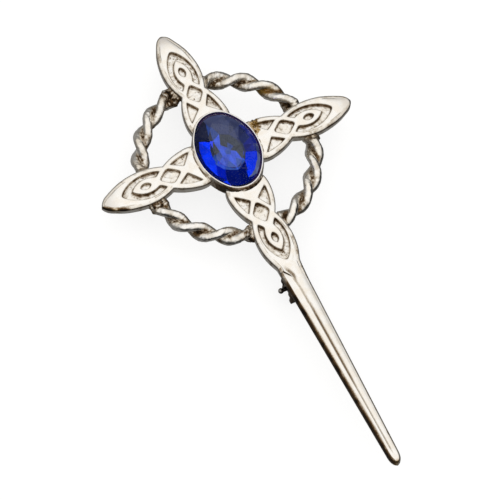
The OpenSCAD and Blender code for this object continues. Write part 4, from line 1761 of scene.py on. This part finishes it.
@dataclass
class CutStone:
    """Oval cut stone: a many-sided table, crown facets, a girdle and a cut underside.

    Attributes:
        oval: Outline of its girdle.
        table_z: Height of the table.
        table: Direction in degrees of each corner of the table, and its share of the oval.
        rows: Share of the oval, height, corners and turn of each further row.
        zones: From which share of the oval outwards, and up to which direction, each tone
            of the foil's painted glow reaches.
        shine: Direction of a facet's slope and how much of its mirror image shows.
    """

    oval: Oval
    table_z: float = 11.6
    table: Pairs = (
        (53, 0.6), (98, 0.69), (132, 0.61), (219, 0.66), (255, 0.62), (272, 0.59), (310, 0.47),
        (337, 0.38),
    )
    rows: tuple[tuple[float, float, int, float], ...] = (
        (0.83, 10.75, 12, 0.4),
        (1.0, 9.7, 48, 0.5),
        (1.0, 9.3, 48, 0.5),
        (0.92, 9.02, 32, 0.0),
        (0.8, 8.67, 20, 0.5),
        (0.47, 7.86, 12, 0.0),
        (0.25, 7.42, 8, 0.5),
        (0.1, 7.2, 5, 0.0),
    )
    zones: tuple[tuple[float, ToneTable], ...] = (
        (0.0, ((95, MIST), (345, PALE), (361, SLATE))),
        (0.22, ((112, SLATE), (157, PALE), (202, MIST), (337, PALE), (361, SLATE))),
        (0.35, (
            (96, SLATE), (120, PALE), (188, SLATE), (210, MIST), (240, PALE), (300, MIST),
            (361, SLATE),
        )),
        (0.43, (
            (12, ROYAL), (45, INK), (95, HAZE), (120, MIST), (128, NIGHT), (219, VIVID),
            (238, DEEP), (290, NAVY), (334, VIVID), (361, ROYAL),
        )),
        (0.635, (
            (12, ROYAL), (45, INK), (100, HAZE), (128, NIGHT), (219, VIVID), (238, DEEP),
            (290, NAVY), (334, VIVID), (361, ROYAL),
        )),
        (0.75, (
            (38, ROYAL), (100, HAZE), (165, NIGHT), (238, NAVY), (250, VIVID), (285, NAVY),
            (332, LILAC), (352, HAZE), (361, ROYAL),
        )),
        (0.915, ((110, PLUM), (243, NIGHT), (250, VIVID), (275, NIGHT), (361, PLUM))),
    )
    shine: Pairs = (
        (0, 0.3), (25, 0.4), (60, 1.0), (110, 1.0), (130, 0.35), (160, 0.1), (285, 0.1),
        (300, 0.15), (340, 0.25), (360, 0.3),
    )

    def corners(self) -> Array:
        """Corners of the table and of every row.

        Returns:
            Their places in the part's frame.
        """
        t = np.radians([d for d, _ in self.table])
        shares = np.array([k for _, k in self.table])[:, None]
        found = [np.column_stack([shares * self.oval.toward(t), np.full(len(t), self.table_z)])]
        for share, z, count, turn in self.rows:
            t = TAU * (np.arange(count) + turn) / count
            found.append(np.column_stack([share * self.oval.toward(t), np.full(count, z)]))
        return np.concatenate(found) + np.array([0, MIDDLE_Y, 0])

    def glow(self, direction: Array, share: Array) -> Array:
        """Painted glow of the foil behind each facet, a little uneven by chance.

        Args:
            direction: Direction of the facets' middles in degrees.
            share: Their distances as shares of the oval.

        Returns:
            Red, green, blue and 1 for each facet.
        """
        colour = np.zeros((len(share), 3))
        for least, table in self.zones:
            at = np.searchsorted([d for d, _ in table], direction)
            tones = np.array([tone.value for _, tone in table])[at]
            colour = np.where(share[:, None] >= least, tones, colour)
        chance = np.random.default_rng(7).random((len(share), 1))
        return np.concatenate([colour * (0.72 + 0.5 * chance), np.ones((len(share), 1))], 1)

    def build(self) -> bpy.types.Object:
        """Takes the convex hull of the corners.

        Returns:
            The stone, whose faces that look down get the second material, the foil.
        """
        bm = bmesh.new()
        for corner in self.corners() * MM:
            bm.verts.new(corner)
        bmesh.ops.convex_hull(bm, input=bm.verts)
        bmesh.ops.dissolve_limit(bm, angle_limit=0.002, verts=bm.verts, edges=bm.edges)
        bmesh.ops.recalc_face_normals(bm, faces=bm.faces)
        mesh = bpy.data.meshes.new("cut_stone")
        bm.to_mesh(mesh)
        bm.free()
        count = len(mesh.polygons)
        centres, normals = np.zeros(count * 3), np.zeros(count * 3)
        mesh.polygons.foreach_get("center", centres)
        mesh.polygons.foreach_get("normal", normals)
        centres, normals = centres.reshape(-1, 3) / MM, normals.reshape(-1, 3)
        x, y = centres[:, 0], centres[:, 1] - MIDDLE_Y
        direction = np.degrees(np.arctan2(y, x)) % 360
        share = np.hypot(x, y) / self.oval.reach(np.radians(direction))
        slope = np.degrees(np.arctan2(normals[:, 1], normals[:, 0])) % 360
        shine = np.interp(slope, [d for d, _ in self.shine], [k for _, k in self.shine])
        shine = np.where(normals[:, 2] > 0.99, 1.0, shine)
        made = mesh.attributes.new("glow", "FLOAT_COLOR", "FACE")
        glow = self.glow(direction, share)
        made.data.foreach_set("color", glow.astype(np.float32).ravel())
        made = mesh.attributes.new("shine", "FLOAT", "FACE")
        made.data.foreach_set("value", shine.astype(np.float32))
        mesh.polygons.foreach_set("material_index", (normals[:, 2] < -0.05).astype(np.int32))
        return add_object("cut_stone", mesh)


@dataclass(frozen=True)
class Studio:
    """Floor, soft dome of light and the camera at the photo's angle.

    Attributes:
        azimuth: Degrees of the camera round the pin.
        elevation: Degrees of the camera above the horizon.
        roll: Degrees that the picture is turned.
        distance: Millimetres from the point that was measured.
        scale: Pixels for each millimetre at that point.
        pixel: Where that point, the stone's middle on the face plane, shows.
        side: Pixels of the square picture.
        sensor: Width of the camera's sensor.
        floor_half: Half the floor's side, in metres.
        floor_glow: Strength of the floor's own light.
        light_tint: Colour of the dome.
        lit_side: Direction whose horizon is grey instead of black.
        dark_stops: Elevation and level of the light towards the other side.
        lit_stops: The same towards the lit side.
    """

    azimuth: float = -31.865
    elevation: float = 62.741
    roll: float = 6.032
    distance: float = 911.4
    scale: float = 4.813
    pixel: tuple[float, float] = (227.99, 150.99)
    side: int = 500
    sensor: float = 36.0
    floor_half: float = 3.0
    floor_glow: float = 0.8
    light_tint: tuple[float, float, float] = (1, 0.985, 0.96)
    lit_side: tuple[float, float, float] = (-0.35, 0.9, 0.0)
    dark_stops: Pairs = (
        (-90, 0.22), (-50, 0.22), (-30, 0.11), (-20, 0.025), (6, 0.025), (16, 0.2),
        (28, 0.7), (42, 1.0), (90, 1.05),
    )
    lit_stops: Pairs = (
        (-90, 0.22), (-50, 0.26), (-30, 0.32), (-20, 0.3), (6, 0.3), (16, 0.38),
        (28, 0.72), (42, 1.0), (90, 1.05),
    )

    def camera(self) -> None:
        """Places the camera so that the measured point falls on its pixel, with no shift."""
        az, el, roll = (math.radians(x) for x in (self.azimuth, self.elevation, self.roll))
        back = Vector((math.sin(az) * math.cos(el), -math.cos(az) * math.cos(el), math.sin(el)))
        right = Vector((math.cos(az), math.sin(az), 0))
        up = back.cross(right)
        x_cam = right * math.cos(roll) + up * math.sin(roll)
        y_cam = up * math.cos(roll) - right * math.sin(roll)
        focal = self.scale * self.distance
        place = Vector((0, MIDDLE_Y, FACE_Z)) + back * self.distance
        aim = -back + x_cam * ((self.side / 2 - self.pixel[0]) / focal)
        aim -= y_cam * ((self.side / 2 - self.pixel[1]) / focal)
        z_axis = (-aim).normalized()
        x_axis = y_cam.cross(z_axis).normalized()
        y_axis = z_axis.cross(x_axis)
        data = bpy.data.cameras.new("camera")
        data.sensor_width = self.sensor
        data.lens = focal / self.side * self.sensor
        data.clip_start, data.clip_end = 0.01, 20
        obj = add_object("camera", data)
        rotation = Matrix((x_axis, y_axis, z_axis)).transposed().to_4x4()
        obj.matrix_world = Matrix.Translation(place * MM) @ rotation
        bpy.context.scene.camera = obj

    def floor(self) -> None:
        """Lays a plain pale floor, which the metal does not mirror."""
        s = self.floor_half
        mesh = bpy.data.meshes.new("floor")
        mesh.from_pydata([(-s, -s, 0), (s, -s, 0), (s, s, 0), (-s, s, 0)], [], [(0, 1, 2, 3)])
        obj = add_object("floor", mesh)
        book = NodeBook(bpy.data.materials.new("pale_floor"))
        matt = book.add("BsdfDiffuse", Color=(0.3, 0.3, 0.3, 1))
        glow = book.add("Emission", Color=(1, 1, 1, 1), Strength=self.floor_glow)
        book.out(book.add("AddShader", i0=matt.outputs[0], i1=glow.outputs[0]).outputs[0])
        mesh.materials.append(book.owner)
        obj.visible_glossy = False
        obj.visible_transmission = False

    def light(self) -> None:
        """Fills the world with a soft dome: bright above, dark at the horizon, grey below."""
        world = bpy.data.worlds.new("studio")
        bpy.context.scene.world = world
        book = NodeBook(world)
        way = book.add("TexCoord").outputs["Generated"]
        height = book.span(book.add("SeparateXYZ", i0=way).outputs["Z"], -1, 1)
        ahead = book.add("VectorMath", operation="DOT_PRODUCT", i0=way, i1=self.lit_side)
        levels = []
        for stops in (self.dark_stops, self.lit_stops):
            ramp = book.add("ValToRGB", i0=height)
            elements = ramp.color_ramp.elements
            while len(elements) < len(stops):
                elements.new(0.5)
            for element, (el, level) in zip(elements, stops):
                element.position = (math.sin(math.radians(el)) + 1) / 2
                element.color = tuple(level * c for c in self.light_tint) + (1,)
            levels.append(ramp.outputs[0])
        share = book.span(ahead.outputs["Value"], -0.2, 1)
        book.out(book.add("Background", i0=book.mix(share, *levels)).outputs[0])
        bpy.context.scene.view_settings.view_transform = "Standard"

    def set_up(self) -> None:
        """Builds camera, floor and light."""
        self.camera()
        self.floor()
        self.light()


def main() -> None:
    """Builds the pin's sub-assemblies in order and the studio round them."""
    logging.basicConfig(level=logging.INFO, format="%(name)s %(message)s")
    plate = PlateFinish().material("bright_plate")
    turned = WireFinish(
        bright=(0.5, 0.48, 0.45, 1),
        dull=(0.03, 0.022, 0.015, 1),
        gloss=0.22,
        stretch=(1200, 1200, 1200),
    ).material("catch_plate")
    wire = WireFinish().material("drawn_wire")
    glass, foil = GlassFinish().crown("stone_glass"), GlassFinish().foil("stone_foil")
    shaft = ShaftLeaf(
        "arm_low_and_shaft", 180.0, 31.8, 5.5, 301,
        tip_fill=0.0, tip_droop=0.0, tip_dull=0.0, diamond_shift=0.75, wedge_in=6.4, soil_and_shade=1.12,
    )
    worn = ((-3.2, 7.7, 1.5), (-2.0, 7.3, 1.1))
    leaves = [
        Leaf("arm_top", 1.0, 30.8, 5.5, 101, tip_dull=0.7, diamond_l=4.8),
        Leaf("arm_left", 90.0, 29.0, 4.0, 201, painted_edge_line=1.0),
        shaft,
        Leaf("arm_right", 270.7, 29.0, 4.0, 401, worn=worn, soil_and_shade=1.18),
    ]
    at_ring = np.array([RopeRing.radius])
    ring = RopeRing([(leaf.turn, float(leaf.half_width(at_ring)[0])) for leaf in leaves])
    catch = Catch()
    soldered = [ring.build, Setting(Oval()).build, Hinge().build, catch.build_cheeks]
    for build in [leaf.build for leaf in leaves] + soldered:
        finish_piece(build(), Body.PIN, Slot.PLATE, "casting", plate)
    finish_piece(catch.build_barrel(), Body.CATCH, Slot.CATCH, "catch_barrel", turned)
    finish_piece(Needle().build(), Body.PIN, Slot.WIRE, "needle", wire)
    finish_piece(CutStone(Oval()).build(), Body.PIN, Slot.GLASS, "stone", glass, foil)
    Studio().set_up()
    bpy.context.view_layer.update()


if __name__ == "__main__":
    main()
